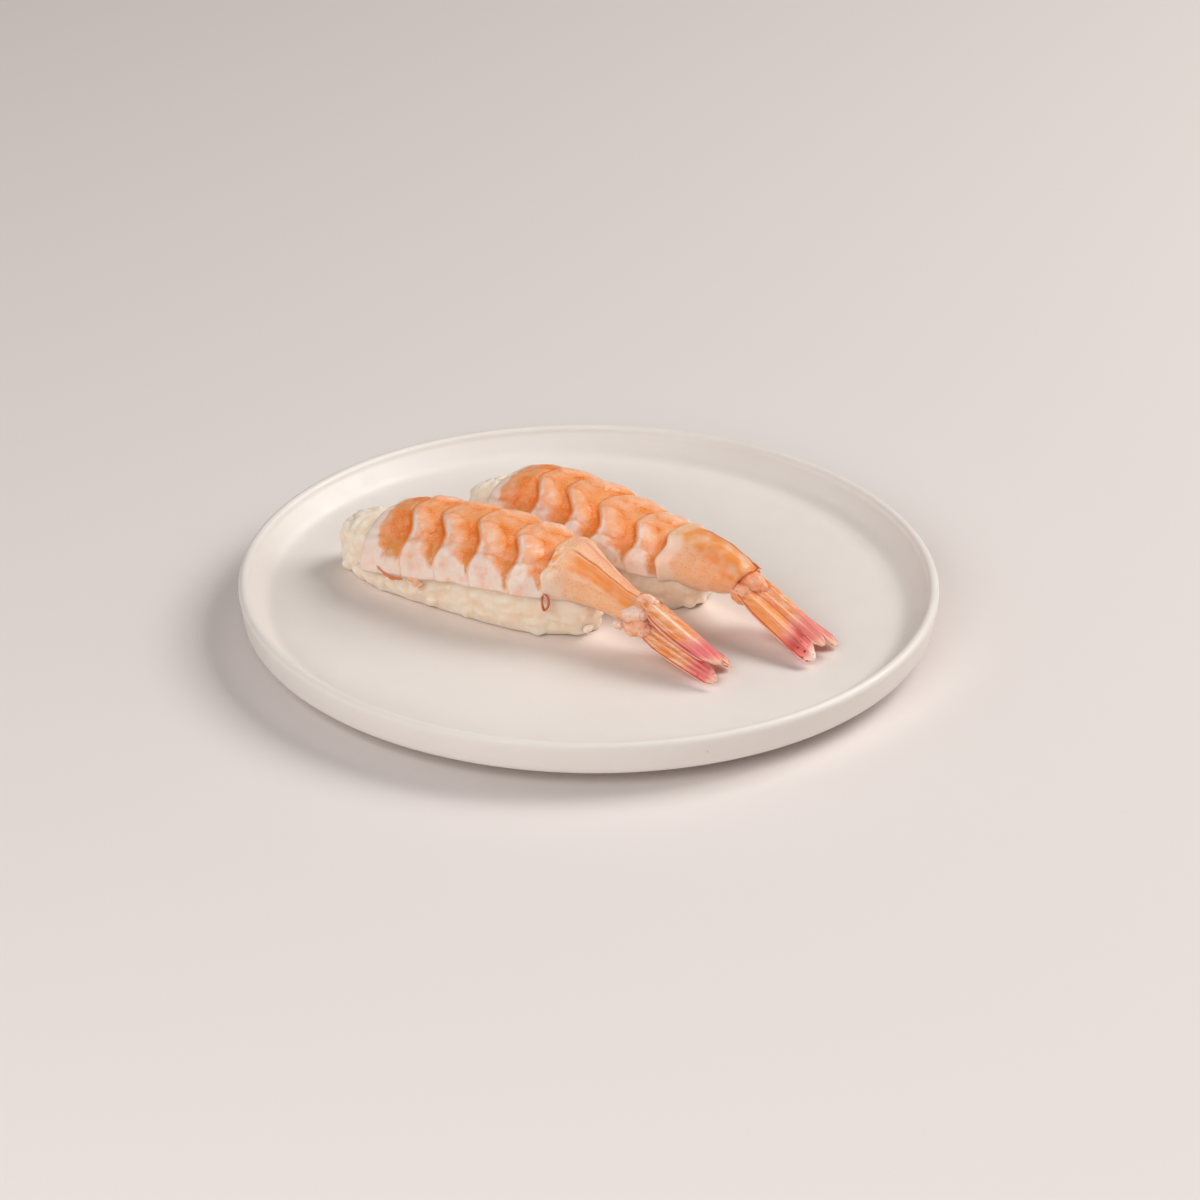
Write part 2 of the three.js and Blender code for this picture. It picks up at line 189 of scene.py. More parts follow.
class Graph:
    """The nodes of one material, added in the order in which they are used."""

    def __init__(self, name: str) -> None:
        """Start a material with an empty Principled shader.

        Args:
            name: The material's name.
        """
        self.material = bpy.data.materials.new(name)
        self.material.use_nodes = True
        self.tree = self.material.node_tree
        self.shader = self.tree.nodes["Principled BSDF"]
        self.where = self.tree.nodes.new("ShaderNodeTexCoord").outputs["Object"]

    def _fill(self, node: Node, inputs: dict[str | int, Feed]) -> None:
        """Link or set a node's inputs.

        Args:
            node: The node.
            inputs: What each input takes, under its name or number.
        """
        for key, value in inputs.items():
            if isinstance(value, NodeSocket):
                self.tree.links.new(value, node.inputs[key])
            else:
                node.inputs[key].default_value = value

    def fixed(self, **values: float | tuple) -> None:
        """Set values on the shader's own sockets; underscores stand for spaces in the names."""
        for key, value in values.items():
            self.shader.inputs[key.replace("_", " ")].default_value = value

    def feed(self, name: str, socket: NodeSocket) -> None:
        """Link a socket to the shader's socket of that name."""
        self.tree.links.new(socket, self.shader.inputs[name])

    def attribute(self, name: str) -> NodeSocket:
        """Read a number kept on the mesh's vertices.

        Args:
            name: The number's name.

        Returns:
            The number.
        """
        node = self.tree.nodes.new("ShaderNodeAttribute")
        node.attribute_name = name
        return node.outputs["Fac"]

    def stretched(self, length: float, heading: float) -> NodeSocket:
        """Stretch the object's coordinates along a level direction.

        Args:
            length: How many times longer things get along it.
            heading: The direction, in degrees from the first axis.

        Returns:
            The new coordinates.
        """
        node = self.tree.nodes.new("ShaderNodeMapping")
        node.vector_type = "TEXTURE"
        turn = (0, 0, math.radians(heading))
        self._fill(node, {"Vector": self.where, "Scale": (length, 1, 1), "Rotation": turn})
        return node.outputs["Vector"]

    def clouds(self, size: float, detail: float = 2.0, where: NodeSocket | None = None) -> NodeSocket:
        """Add soft noise.

        Args:
            size: Size of its lumps in mm.
            detail: Its finer layers.
            where: Coordinates to read it at, the object's own by default.

        Returns:
            A number about 0.5.
        """
        node = self.tree.nodes.new("ShaderNodeTexNoise")
        self._fill(node, {"Vector": where or self.where, "Scale": 1 / (size * MM), "Detail": detail})
        return node.outputs["Fac"]

    def dots(self, spacing: float) -> NodeSocket:
        """Add cells with a number that grows from 0 at each cell's middle.

        Args:
            spacing: How far the middles lie apart, in mm.

        Returns:
            The number.
        """
        node = self.tree.nodes.new("ShaderNodeTexVoronoi")
        self._fill(node, {"Vector": self.where, "Scale": 1 / (spacing * MM)})
        return node.outputs["Distance"]

    def ramp(
        self, value: NodeSocket, low: float, high: float, to_low: float = 0.0, to_high: float = 1.0
    ) -> NodeSocket:
        """Ease a number from one range into another.

        Args:
            value: The number.
            low: Start of its range.
            high: End of its range.
            to_low: Result at the start.
            to_high: Result at the end.

        Returns:
            The eased number.
        """
        node = self.tree.nodes.new("ShaderNodeMapRange")
        node.interpolation_type = "SMOOTHSTEP"
        ends = {"From Min": low, "From Max": high, "To Min": to_low, "To Max": to_high}
        self._fill(node, {"Value": value, **ends})
        return node.outputs["Result"]

    def times(self, a: Feed, b: Feed) -> NodeSocket:
        """Multiply two numbers, and keep the result from 0 to 1."""
        return self._sum("MULTIPLY", a, b)

    def plus(self, a: Feed, b: Feed) -> NodeSocket:
        """Add two numbers, and keep the result from 0 to 1."""
        return self._sum("ADD", a, b)

    def _sum(self, operation: str, a: Feed, b: Feed) -> NodeSocket:
        """Combine two numbers.

        Args:
            operation: The Math node's name for it.
            a: First number.
            b: Second number.

        Returns:
            The result, kept from 0 to 1.
        """
        node = self.tree.nodes.new("ShaderNodeMath")
        node.operation = operation
        node.use_clamp = True
        self._fill(node, {0: a, 1: b})
        return node.outputs["Value"]

    def mix(self, share: NodeSocket, a: Feed | str, b: Feed | str) -> NodeSocket:
        """Mix two colours.

        Args:
            share: 0 for the first, 1 for the second.
            a: First colour, or its code.
            b: Second colour, or its code.

        Returns:
            The mixed colour.
        """
        node = self.tree.nodes.new("ShaderNodeMix")
        node.data_type = "RGBA"
        tones = [colour(tone) if isinstance(tone, str) else tone for tone in (a, b)]
        places = [i for i, socket in enumerate(node.inputs) if socket.type == "RGBA"]
        self._fill(node, {"Factor": share, **dict(zip(places, tones))})
        return next(socket for socket in node.outputs if socket.type == "RGBA")

    def bump(self, height: NodeSocket, depth: float, strength: float = 1.0) -> None:
        """Feed relief to the shader's normal.

        Args:
            height: Its height from 0 to 1.
            depth: The height of 1, in mm.
            strength: How strongly it shows.
        """
        node = self.tree.nodes.new("ShaderNodeBump")
        self._fill(node, {"Height": height, "Distance": depth * MM, "Strength": strength})
        self.feed("Normal", node.outputs["Normal"])

    def rough(self, size: float, ends: tuple[float, float]) -> None:
        """Vary the shader's roughness in soft clouds.

        Args:
            size: Size of the clouds in mm.
            ends: The least and the greatest roughness.
        """
        self.feed("Roughness", self.ramp(self.clouds(size), 0.35, 0.65, *ends))

    def scatter(self, weight: float, reach: tuple[float, float, float], scale: float) -> None:
        """Let light scatter under the surface.

        Args:
            weight: How much of the light does.
            reach: How far it goes in red, green and blue, as shares of the scale.
            scale: The scale in mm.
        """
        self.fixed(Subsurface_Weight=weight, Subsurface_Radius=reach, Subsurface_Scale=scale * MM)

    def wet(self, weight: float, roughness: float) -> None:
        """Put a wet film on a surface that has no sheen of its own.

        Args:
            weight: How much of the surface it covers.
            roughness: Its roughness.
        """
        self.fixed(Specular_IOR_Level=0.0, Coat_Weight=weight, Coat_Roughness=roughness)


@dataclass(frozen=True)
class GlazedStoneware:
    """The plate's satin glaze, with faint clouds and a few specks."""

    light: str = "#efe8e2"
    shade: str = "#eae2db"
    speck: str = "#cbbdb0"
    roughness: tuple[float, float] = (0.38, 0.5)

    def material(self) -> Material:
        """Build the material.

        Returns:
            The material.
        """
        g = Graph("glazed_stoneware")
        body = g.mix(g.clouds(28), self.light, self.shade)
        specks = g.times(g.ramp(g.dots(9), 0.05, 0.02), g.ramp(g.clouds(14, 0), 0.55, 0.62))
        g.feed("Base Color", g.mix(g.times(specks, 0.5), body, self.speck))
        g.rough(6, self.roughness)
        g.scatter(0.15, (1.0, 0.8, 0.6), 1.5)
        g.bump(g.clouds(2.5, 3), 0.02, 0.4)
        return g.material


@dataclass(frozen=True)
class BoiledRice:
    """Boiled rice: cream grains that let light through, with a wet film of starch between them."""

    name: str = "boiled_rice"
    grain: str = "#fee3cd"
    heart: str = "#fcdac0"
    milky: str = "#feebda"
    roughness: tuple[float, float] = (0.3, 0.5)
    scatter: float = 4.0

    def material(self) -> Material:
        """Build the material.

        Returns:
            The material.
        """
        g = Graph(self.name)
        body = g.mix(g.ramp(g.clouds(5), 0.35, 0.65), self.grain, self.heart)
        g.feed("Base Color", g.mix(g.ramp(g.clouds(1.6, 3), 0.5, 0.75), body, self.milky))
        g.rough(1.2, self.roughness)
        g.scatter(0.9, (1.0, 0.92, 0.8), self.scatter)
        g.wet(0.16, 0.3)
        g.bump(g.clouds(0.8, 3), 0.06, 0.4)
        return g.material


@dataclass(frozen=True)
class BoiledFlesh:
    """Boiled shrimp flesh: milky white under an orange skin that is densest before each joint."""

    milky: str = "#f8dfd1"
    blush: str = "#fbbc98"
    skin: str = "#f8a066"
    dense: str = "#ec7c34"
    streak: str = "#e0924b"
    speck: str = "#bb662f"
    roughness: tuple[float, float] = (0.24, 0.42)

    def material(self) -> Material:
        """Build the material.

        Returns:
            The material.
        """
        g = Graph("boiled_shrimp_flesh")
        # pigment is the orange skin, with a painted highlight and a painted glow behind each joint
        pigment = g.attribute("pigment")
        mottled = g.plus(pigment, g.ramp(g.clouds(2.2, 4), 0.3, 0.7, -0.17, 0.05))
        clumps = g.ramp(g.clouds(0.42, 2), 0.3, 0.7, 0.0, 0.3)
        grain = g.plus(clumps, g.ramp(g.dots(0.7), 0.3, 0.12, 0.0, 0.2))
        fine = g.plus(g.times(grain, pigment), mottled)
        low = g.mix(g.ramp(fine, 0.0, 0.3), self.milky, self.blush)
        mid = g.mix(g.ramp(fine, 0.2, 0.66), low, self.skin)
        top = g.mix(g.ramp(fine, 0.6, 1.0), mid, self.dense)
        streaks = g.times(g.attribute("streak"), g.ramp(g.clouds(1.0, 3), 0.25, 0.6, 0.45, 1.0))
        skin = g.mix(streaks, top, self.streak)
        orange = g.plus(g.ramp(pigment, 0.3, 0.7), streaks)
        flecks = g.times(g.ramp(g.dots(0.62), 0.28, 0.1), g.ramp(g.clouds(1.7, 2), 0.44, 0.6, 0.0, 0.55))
        g.feed("Base Color", g.mix(g.times(flecks, orange), skin, self.speck))
        g.rough(1.5, self.roughness)
        g.scatter(0.4, (1.0, 0.8, 0.66), 1.6)
        g.wet(0.42, 0.17)
        fibres = g.clouds(0.55, 3, g.stretched(3.0, ACROSS))
        g.bump(g.plus(g.times(fibres, 0.6), g.times(g.clouds(1.4, 2), 0.4)), 0.15, 0.45)
        return g.material


@dataclass(frozen=True)
class BoiledShell:
    """Boiled shrimp shell: clear peach with orange panels, red ridges, fine dots and pink ends."""

    name: str = "boiled_shrimp_shell"
    peach: str = "#fcc39a"
    panel: str = "#fc9f5a"
    ridge: str = "#b03e22"
    rose: str = "#ee7f7d"
    milky: str = "#ffe6da"
    dot: str = "#ef9b6c"
    deep: str = "#e07a36"
    spot: str = "#a03428"
    roughness: tuple[float, float] = (0.2, 0.38)
    clearness: float = 0.55
    scatter: float = 2.6
    mottle: float = 0.05

    def material(self) -> Material:
        """Build the material.

        Returns:
            The material.
        """
        g = Graph(self.name)
        strands = g.clouds(0.8, 3, g.stretched(4.0, ALONG))
        patchy = g.plus(g.attribute("pigment"), g.ramp(g.clouds(1.8, 3), 0.3, 0.7, -0.08, 0.08))
        panel = g.plus(patchy, g.ramp(strands, 0.32, 0.62, -1.4 * self.mottle, self.mottle))
        dotted = g.times(g.ramp(g.dots(0.62), 0.32, 0.14), 0.8)
        body = g.mix(dotted, self.peach, self.dot)
        body = g.mix(g.ramp(panel, 0.12, 0.9), body, self.panel)
        dense = g.times(g.ramp(strands, 0.5, 0.66, 0.0, 1.4 * self.mottle), panel)
        body = g.mix(dense, body, self.deep)
        body = g.mix(g.attribute("rose"), body, self.rose)
        # the milky colour is partly the shell's own clear parts and partly painted: sheen patches on the
        # shell, highlight streaks on the blades, lit tops of the lumps
        body = g.mix(g.attribute("clear"), body, self.milky)
        body = g.mix(g.attribute("ridge"), body, self.ridge)
        spots = g.times(g.attribute("spots"), g.ramp(g.dots(1.1), 0.34, 0.2))
        g.feed("Base Color", g.mix(spots, body, self.spot))
        g.rough(1.1, self.roughness)
        g.scatter(self.clearness, (1.0, 0.74, 0.58), self.scatter)
        g.wet(0.4, 0.14)
        g.bump(g.clouds(0.45, 2), 0.05, 0.4)
        return g.material


@dataclass(frozen=True)
class PaleFloor:
    """The plain pale floor."""

    tone: str = "#e9e0dc"
    roughness: float = 0.8

    def material(self) -> Material:
        """Build the material.

        Returns:
            The material.
        """
        g = Graph("pale_floor")
        g.fixed(Base_Color=colour(self.tone), Roughness=self.roughness)
        return g.material


def reshaped(bm: BMesh, place: Callable[[Vector], tuple[Vector, Numbers]]) -> None:
    """Move every vertex of a simple shape to its place and keep numbers on it for its finish.

    Args:
        bm: The simple shape, changed in place.
        place: Gives the new place of a vertex, and its named numbers.
    """
    places = [place(vertex.co.copy()) for vertex in bm.verts]
    for name in places[0][1]:
        bm.verts.layers.float.new(name)
    for vertex, (point, numbers) in zip(bm.verts, places):
        vertex.co = point
        for name, value in numbers.items():
            vertex[bm.verts.layers.float[name]] = value


def ball(around: int, along: int) -> BMesh:
    """Make a unit ball whose poles lie on the first axis.

    Args:
        around: Its sides.
        along: Its rings from pole to pole.

    Returns:
        The ball.
    """
    bm = bmesh.new()
    turn = Matrix.Rotation(math.pi / 2, 4, "Y")
    bmesh.ops.create_uvsphere(bm, u_segments=around, v_segments=along, radius=1, matrix=turn)
    return bm


def sheet(columns: int, rows: int) -> BMesh:
    """Make a closed thin sheet from -1 to 1 each way, its top at height 0 and its underside below that.

    Args:
        columns: Its faces along the first axis.
        rows: Its faces along the second axis.

    Returns:
        The sheet.
    """
    bm = bmesh.new()
    bmesh.ops.create_grid(bm, x_segments=columns, y_segments=rows, size=1)
    bmesh.ops.solidify(bm, geom=bm.faces[:], thickness=0.1)
    return bm


def dressed(name: str, bm: BMesh, finish: Material, slot: Slot, *nodes: str) -> Object:
    """Make a piece of the part from a finished bmesh.

    Args:
        name: The piece's name.
        bm: Its shape, in metres in the part's frame; it is freed.
        finish: Its material.
        slot: The record's slot for the piece's finish; not used.
        nodes: The CAD nodes that it stands for.

    Returns:
        The piece's object.
    """
    bmesh.ops.recalc_face_normals(bm, faces=bm.faces[:])
    mesh = bpy.data.meshes.new(name)
    bm.to_mesh(mesh)
    bm.free()
    mesh.shade_smooth()
    mesh.materials.append(finish)
    piece = bpy.data.objects.new(name, mesh)
    bpy.context.scene.collection.objects.link(piece)
    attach(piece, "root")
    if nodes:
        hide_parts(*nodes)
    LOG.info("%s: %d faces", name, len(mesh.polygons))
    return piece


@dataclass(frozen=True)
class Plate:
    """The round plate, turned from its section."""

    radius: float
    height: float
    floor: float
    floor_radius: float = 66.5
    lip_width: float = 2.3
    lip_rise: float = 0.4
    edge_radius: float = 74.2
    edge_height: float = 4.9
    foot_radius: float = 42.0
    foot_width: float = 4.0
    foot_height: float = 2.2
    foot_draft: float = 0.6
    rise: tuple[Point, ...] = ((-4.0, 0.3), (3.0, 0.7), (7.2, 1.2))  # out from the floor, up from the foot
    bend: tuple[Point, ...] = ((3.4, 1.2), (2.6, 0.45), (1.8, 0.0))  # out from the floor and up from it
    lip_steps: int = 12
    steps: int = 192

    def section(self) -> list[Vector]:
        """Lay out the section from the middle of the underside, round the lip, to the middle of the inside.

        Returns:
            Points with the radius first and the height last, in mm.
        """
        lip = self.lip_width / 2
        centre = self.radius - lip
        lip_height = self.height + self.lip_rise - lip
        outer, inner = self.foot_radius + self.foot_width / 2, self.foot_radius - self.foot_width / 2
        points = [(0, self.foot_height), (inner, self.foot_height)]
        points += [(inner + self.foot_draft, 0), (outer - self.foot_draft, 0)]
        outside = [(outer, self.foot_height)]
        edge = (self.edge_radius, self.edge_height)
        rise = [(self.floor_radius + out, self.foot_height + up) for out, up in self.rise]
        outside += self.curve(*rise, edge)
        outside += self.straight(edge, (self.radius, lip_height))
        for i in range(1, self.lip_steps):
            angle = math.pi * i / self.lip_steps
            outside.append((centre + lip * math.cos(angle), lip_height + lip * math.sin(angle)))
        bend = [(self.floor_radius + out, self.floor + up) for out, up in self.bend]
        inside = self.straight((centre - lip, lip_height), bend[0])
        inside += self.curve(*bend, (self.floor_radius, self.floor))
        return [Vector((r, 0, z)) for r, z in [*points, *outside, *inside, (0, self.floor)]]

    @staticmethod
    def straight(start: Point, end: Point, steps: int = 6) -> list[Point]:
        """Step along a straight stretch of the section.

        Args:
            start: Its first point.
            end: Its last point.
            steps: Its pieces.

        Returns:
            The points, both ends among them.
        """
        return [tuple(Vector(start).lerp(Vector(end), i / steps)) for i in range(steps + 1)]

    @staticmethod
    def curve(*handles: Point, steps: int = 12) -> list[Point]:
        """Step along a curve with two ends and two handles between them.

        Args:
            handles: Start, first handle, second handle and end.
            steps: Its pieces.

        Returns:
            The points, both ends among them.
        """
        ends = [Vector(p) for p in handles]
        out = []
        for i in range(steps + 1):
            t = i / steps
            weights = ((1 - t) ** 3, 3 * t * (1 - t) ** 2, 3 * t * t * (1 - t), t**3)
            out.append(tuple(sum((p * w for p, w in zip(ends, weights)), Vector((0, 0)))))
        return out

    def build(self, finish: Material) -> Object:
        """Turn the plate and dress it.

        Args:
            finish: Its material.

        Returns:
            The plate.
        """
        bm = bmesh.new()
        verts = [bm.verts.new(point * MM) for point in self.section()]
        edges = [bm.edges.new(pair) for pair in zip(verts, verts[1:])]
        turn = {"cent": (0, 0, 0), "axis": (0, 0, 1), "angle": 2 * math.pi, "steps": self.steps}
        bmesh.ops.spin(bm, geom=[*verts, *edges], use_merge=True, **turn)
        bmesh.ops.remove_doubles(bm, verts=bm.verts[:], dist=0.01 * MM)
        return dressed("plate_glazed", bm, finish, Slot.PLATE, "plate")


@dataclass(frozen=True)
class RiceBlock:
    """The pressed block of boiled rice: a core, the grains fused to it, and the looser grains on it."""

    length: float
    width: float
    height: float
    middle: float
    seed: int
    power: float = 3.2
    foot_power: float = 7.0
    foot: float = 0.7  # mm by which the foot spreads
    foot_height: float = 1.5
    settled_height: float = 2.5  # below this the rice settles onto the plate
    creep: float = 1.0
    creep_height: float = 1.1
    taper: float = 0.2  # share by which the ends are slimmer and the tail end lower
    taper_start: float = 0.5
    grain_length: float = 5.6
    grain_width: float = 2.7
    lengths: tuple[float, float] = (0.85, 1.1)
    widths: tuple[float, float] = (0.88, 1.08)
    grain_bend: float = 0.35
    blunt: float = 0.12
    lengthwise: float = 1.5  # how much more grains lie along the piece than across it
    tilt: float = 0.2
    spacing: float = 2.2
    tries: int = 5000
    sunk: tuple[float, float] = (0.32, 0.48)  # share of a grain's width under the surface
    loose: int = 8
    lumpiness: float = 0.3
    voxel: float = 0.36

    def surface(self, direction: Vector, extra: float, sway: SoftLine) -> Vector:
        """Find a point of the block's surface.

        Args:
            direction: Unit direction from the middle of the unit block.
            extra: How far outside the surface the point lies, in mm.
            sway: The piece's sideways bend.

        Returns:
            The point on the piece's axes.
        """
        plan = (abs(direction.x) ** self.power + abs(direction.y) ** self.power) ** (1 / self.power)
        power = self.power if direction.z > 0 else self.foot_power
        reach = (plan**power + abs(direction.z) ** power) ** (-1 / power)
        towards_end = direction.x * reach
        slimmer = 1 - self.taper * smooth(abs(towards_end), self.taper_start, 1)
        lower = 1 - self.taper * smooth(towards_end, self.taper_start, 1)
        half_height = self.height / 2 * lower
        over = extra if direction.z > 0 else 0.0
        h = GAP + half_height + (half_height + over) * direction.z * reach
        h -= GAP * fade(h, GAP, self.settled_height)
        spread = extra + self.foot * fade(h, 0.0, self.foot_height)
        s = self.middle + (self.length / 2 + spread) * towards_end
        t = (self.width / 2 * slimmer + spread) * direction.y * reach
        return Vector((s, t + sway.at(s), h))

    def top(self, s: float, t: float) -> float:
        """Give the height of the block's top over a place.

        Args:
            s: Place along the piece.
            t: Place across it, from the bent middle line.

        Returns:
            The height over the plate in mm, 0 where there is no rice.
        """
        end = (s - self.middle) / (self.length / 2)
        slimmer = 1 - self.taper * smooth(abs(end), self.taper_start, 1)
        lower = 1 - self.taper * smooth(end, self.taper_start, 1)
        rest = 1 - abs(end) ** self.power - abs(t / (self.width / 2 * slimmer)) ** self.power
        if rest <= 0:
            return 0.0
        return GAP + self.height / 2 * lower * (1 + rest ** (1 / self.power))

    def normal(self, direction: Vector) -> Vector:
        """Find the outward direction of the block's surface.

        Args:
            direction: Direction from the middle of the unit block to the place on the surface.

        Returns:
            The unit direction outwards there.
        """
        parts = zip(direction, (self.length, self.width, self.height))
        slopes = [math.copysign(abs(part) ** (self.power - 1), part) / size for part, size in parts]
        return Vector(slopes).normalized()

    def core(self, piece: "Nigiri") -> BMesh:
        """Shape the core, a little inside the grains and softly lumpy.

        Args:
            piece: The piece that the block belongs to.

        Returns:
            The core.
        """
        bm = ball(96, 96)

        def place(v: Vector) -> tuple[Vector, Numbers]:
            """Give a vertex of the unit ball its place on the core, whose finish needs no numbers."""
            extra = self.lumpiness * noise.noise(v * 7 + Vector((self.seed, 0, 0))) - self.lumpiness
            return piece.axes.place(self.surface(v.normalized(), extra, piece.sway)), {}

        reshaped(bm, place)
        return bm

    def grains(self, piece: "Nigiri", fused: BMesh) -> BMesh:
        """Scatter the grains that show, clear of the shrimp and of the plate.

        Args:
            piece: The piece that the block belongs to.
            fused: The core, to which most grains are added.

        Returns:
            The looser grains.
        """
        rng = random.Random(self.seed)
        loose = bmesh.new()
        taken: list[Vector] = []
        for _ in range(self.tries):
            direction = Vector((rng.gauss(0, 1), rng.gauss(0, 1), rng.gauss(0, 1))).normalized()
            sink = self.grain_width * rng.uniform(*self.sunk)
            point = self.surface(direction, -sink, piece.sway)
            if any((point - other).length < self.spacing for other in taken):
                continue
            along = self.lie(direction, rng)
            if not self.shows(piece, point, along):
                continue
            taken.append(point)
            outer = len(taken) <= self.loose
            self.add_grain(loose if outer else fused, piece, point, along, rng)
        return loose

    def lie(self, direction: Vector, rng: random.Random) -> Vector:
        """Choose the way a grain lies, nearly flat on the surface.

        Args:
            direction: Unit direction from the middle of the unit block to the grain.
            rng: Source of the draws.

        Returns:
            The unit direction along the grain.
        """
        normal = self.normal(direction)
        level = normal.orthogonal().normalized()
        level.rotate(Quaternion(normal, rng.uniform(0, 2 * math.pi)))
        level.x *= self.lengthwise
        return (level + normal * rng.uniform(-self.tilt, self.tilt)).normalized()

    def shows(self, piece: "Nigiri", point: Vector, along: Vector) -> bool:
        """Tell whether a grain would be clear of the plate and the shrimp, and in sight.

        Args:
            piece: The piece that the block belongs to.
            point: The grain's middle.
            along: Unit direction along it.

        Returns:
            Whether it would.
        """
        half = self.grain_width / 2 + abs(along.z) * (self.grain_length - self.grain_width) / 2
        if point.z - half < -0.5:
            return False
        before_head = point.x + self.grain_length / 2 < piece.flesh.start - GAP
        return before_head or point.z + half < piece.flesh.ceiling(point.x + self.grain_length / 4)

    def add_grain(self, bm: BMesh, piece: "Nigiri", point: Vector, along: Vector, rng: random.Random) -> None:
        """Add one grain: plump, slightly bent, blunter at one end.

        Args:
            bm: What it is added to.
            piece: The piece that the block belongs to.
            point: Its middle.
            along: Unit direction along it.
            rng: Source of the draws.
        """
        turn = Vector((1, 0, 0)).rotation_difference(along)
        grown = bmesh.ops.create_icosphere(bm, subdivisions=2, radius=1)
        long = self.grain_length * rng.uniform(*self.lengths) / 2
        wide = self.grain_width * rng.uniform(*self.widths) / 2
        bend = rng.uniform(-self.grain_bend, self.grain_bend)
        for vertex in grown["verts"]:
            x, y, z = vertex.co
            fat = 1 + self.blunt * x
            local = Vector((x * long, y * wide * fat + bend * x * x, z * wide * fat))
            local = point + turn @ local
            local.z = max(local.z, 0.06)
            vertex.co = piece.axes.place(local)

    def melted(self, bm: BMesh) -> BMesh:
        """Melt the core and its grains into one skin and soften it.

        Args:
            bm: The shapes, in metres; it is freed.

        Returns:
            The one closed skin.
        """
        mesh = bpy.data.meshes.new("melting")
        bm.to_mesh(mesh)
        bm.free()
        block = bpy.data.objects.new("melting", mesh)
        bpy.context.scene.collection.objects.link(block)
        melt = block.modifiers.new("melt", "REMESH")
        melt.mode = "VOXEL"
        melt.voxel_size = self.voxel * MM
        soften = block.modifiers.new("soften", "SMOOTH")
        soften.factor = 0.5
        soften.iterations = 2
        out = bmesh.new()
        out.from_object(block, bpy.context.evaluated_depsgraph_get())
        bpy.data.objects.remove(block)
        bpy.data.meshes.remove(mesh)
        return out

    def spread_foot(self, bm: BMesh, piece: "Nigiri") -> None:
        """Let the foot of the skin creep out over the plate a little, as sticky rice does.

        Args:
            bm: The skin, changed in place.
            piece: The piece that the block belongs to.
        """
        for vertex in bm.verts:
            point = piece.axes.local(vertex.co)
            if point.z > self.creep_height:
                continue
            x = (point.x - self.middle) / (self.length / 2)
            y = (point.y - piece.sway.at(point.x)) / (self.width / 2)
            edge = (abs(x) ** self.power + abs(y) ** self.power) ** (1 / self.power)
            outward = self.normal(Vector((x, y, 0)))
            uneven = 0.7 + 0.9 * noise.noise(point * 0.35)
            amount = self.creep * uneven * (1 - point.z / self.creep_height) ** 2
            vertex.co = piece.axes.place(point + outward * amount * smooth(edge, 0.7, 0.9))

    def build(self, piece: "Nigiri", finish: Material, grain_finish: Material) -> None:
        """Build and dress the block and the looser grains.

        Args:
            piece: The piece that the block belongs to.
            finish: The block's material.
            grain_finish: The looser grains' material.
        """
        fused = self.core(piece)
        loose = self.grains(piece, fused)
        skin = self.melted(fused)
        self.spread_foot(skin, piece)
        dressed(f"{piece.name}_rice_core", skin, finish, Slot.RICE, f"{piece.name}_rice")
        dressed(f"{piece.name}_rice_grains", loose, grain_finish, Slot.RICE)


@dataclass(frozen=True)
class Joint:
    """Where one segment of the shrimp ends and the next starts: its place on the ridge, and on the flanks.

    A streak of pigment hangs down the flank before it: its width as a share of the segment's length, how far
    down it reaches, from 0 on the ridge to 1 at the hanging edge, and how blunt its end is.
    """

    ridge: float
    flank: float
    streak: float = 0.34
    drop: float = 0.85
    blunt: float = 0.4

    def at(self, q: float) -> float:
        """Read the joint's place along the piece, where q is 0 on the ridge and 1 or -1 at a hanging edge."""
        lobe = 0.7 * math.sin(math.pi * smooth(abs(q), 0.5, 1.0))
        return self.ridge + (self.flank - self.ridge) * smooth(abs(q), 0.06, 0.47) - lobe


@dataclass(frozen=True)
class Spot:
    """Where a point of the skin lies in its segment.

    That is how far behind the segment's start and ahead of its end, in mm, its share of the segment's length,
    whether this is the first segment, and the joint at the segment's end, if there is one.
    """

    behind: float
    ahead: float
    share: float
    first: bool
    joint: Joint | None


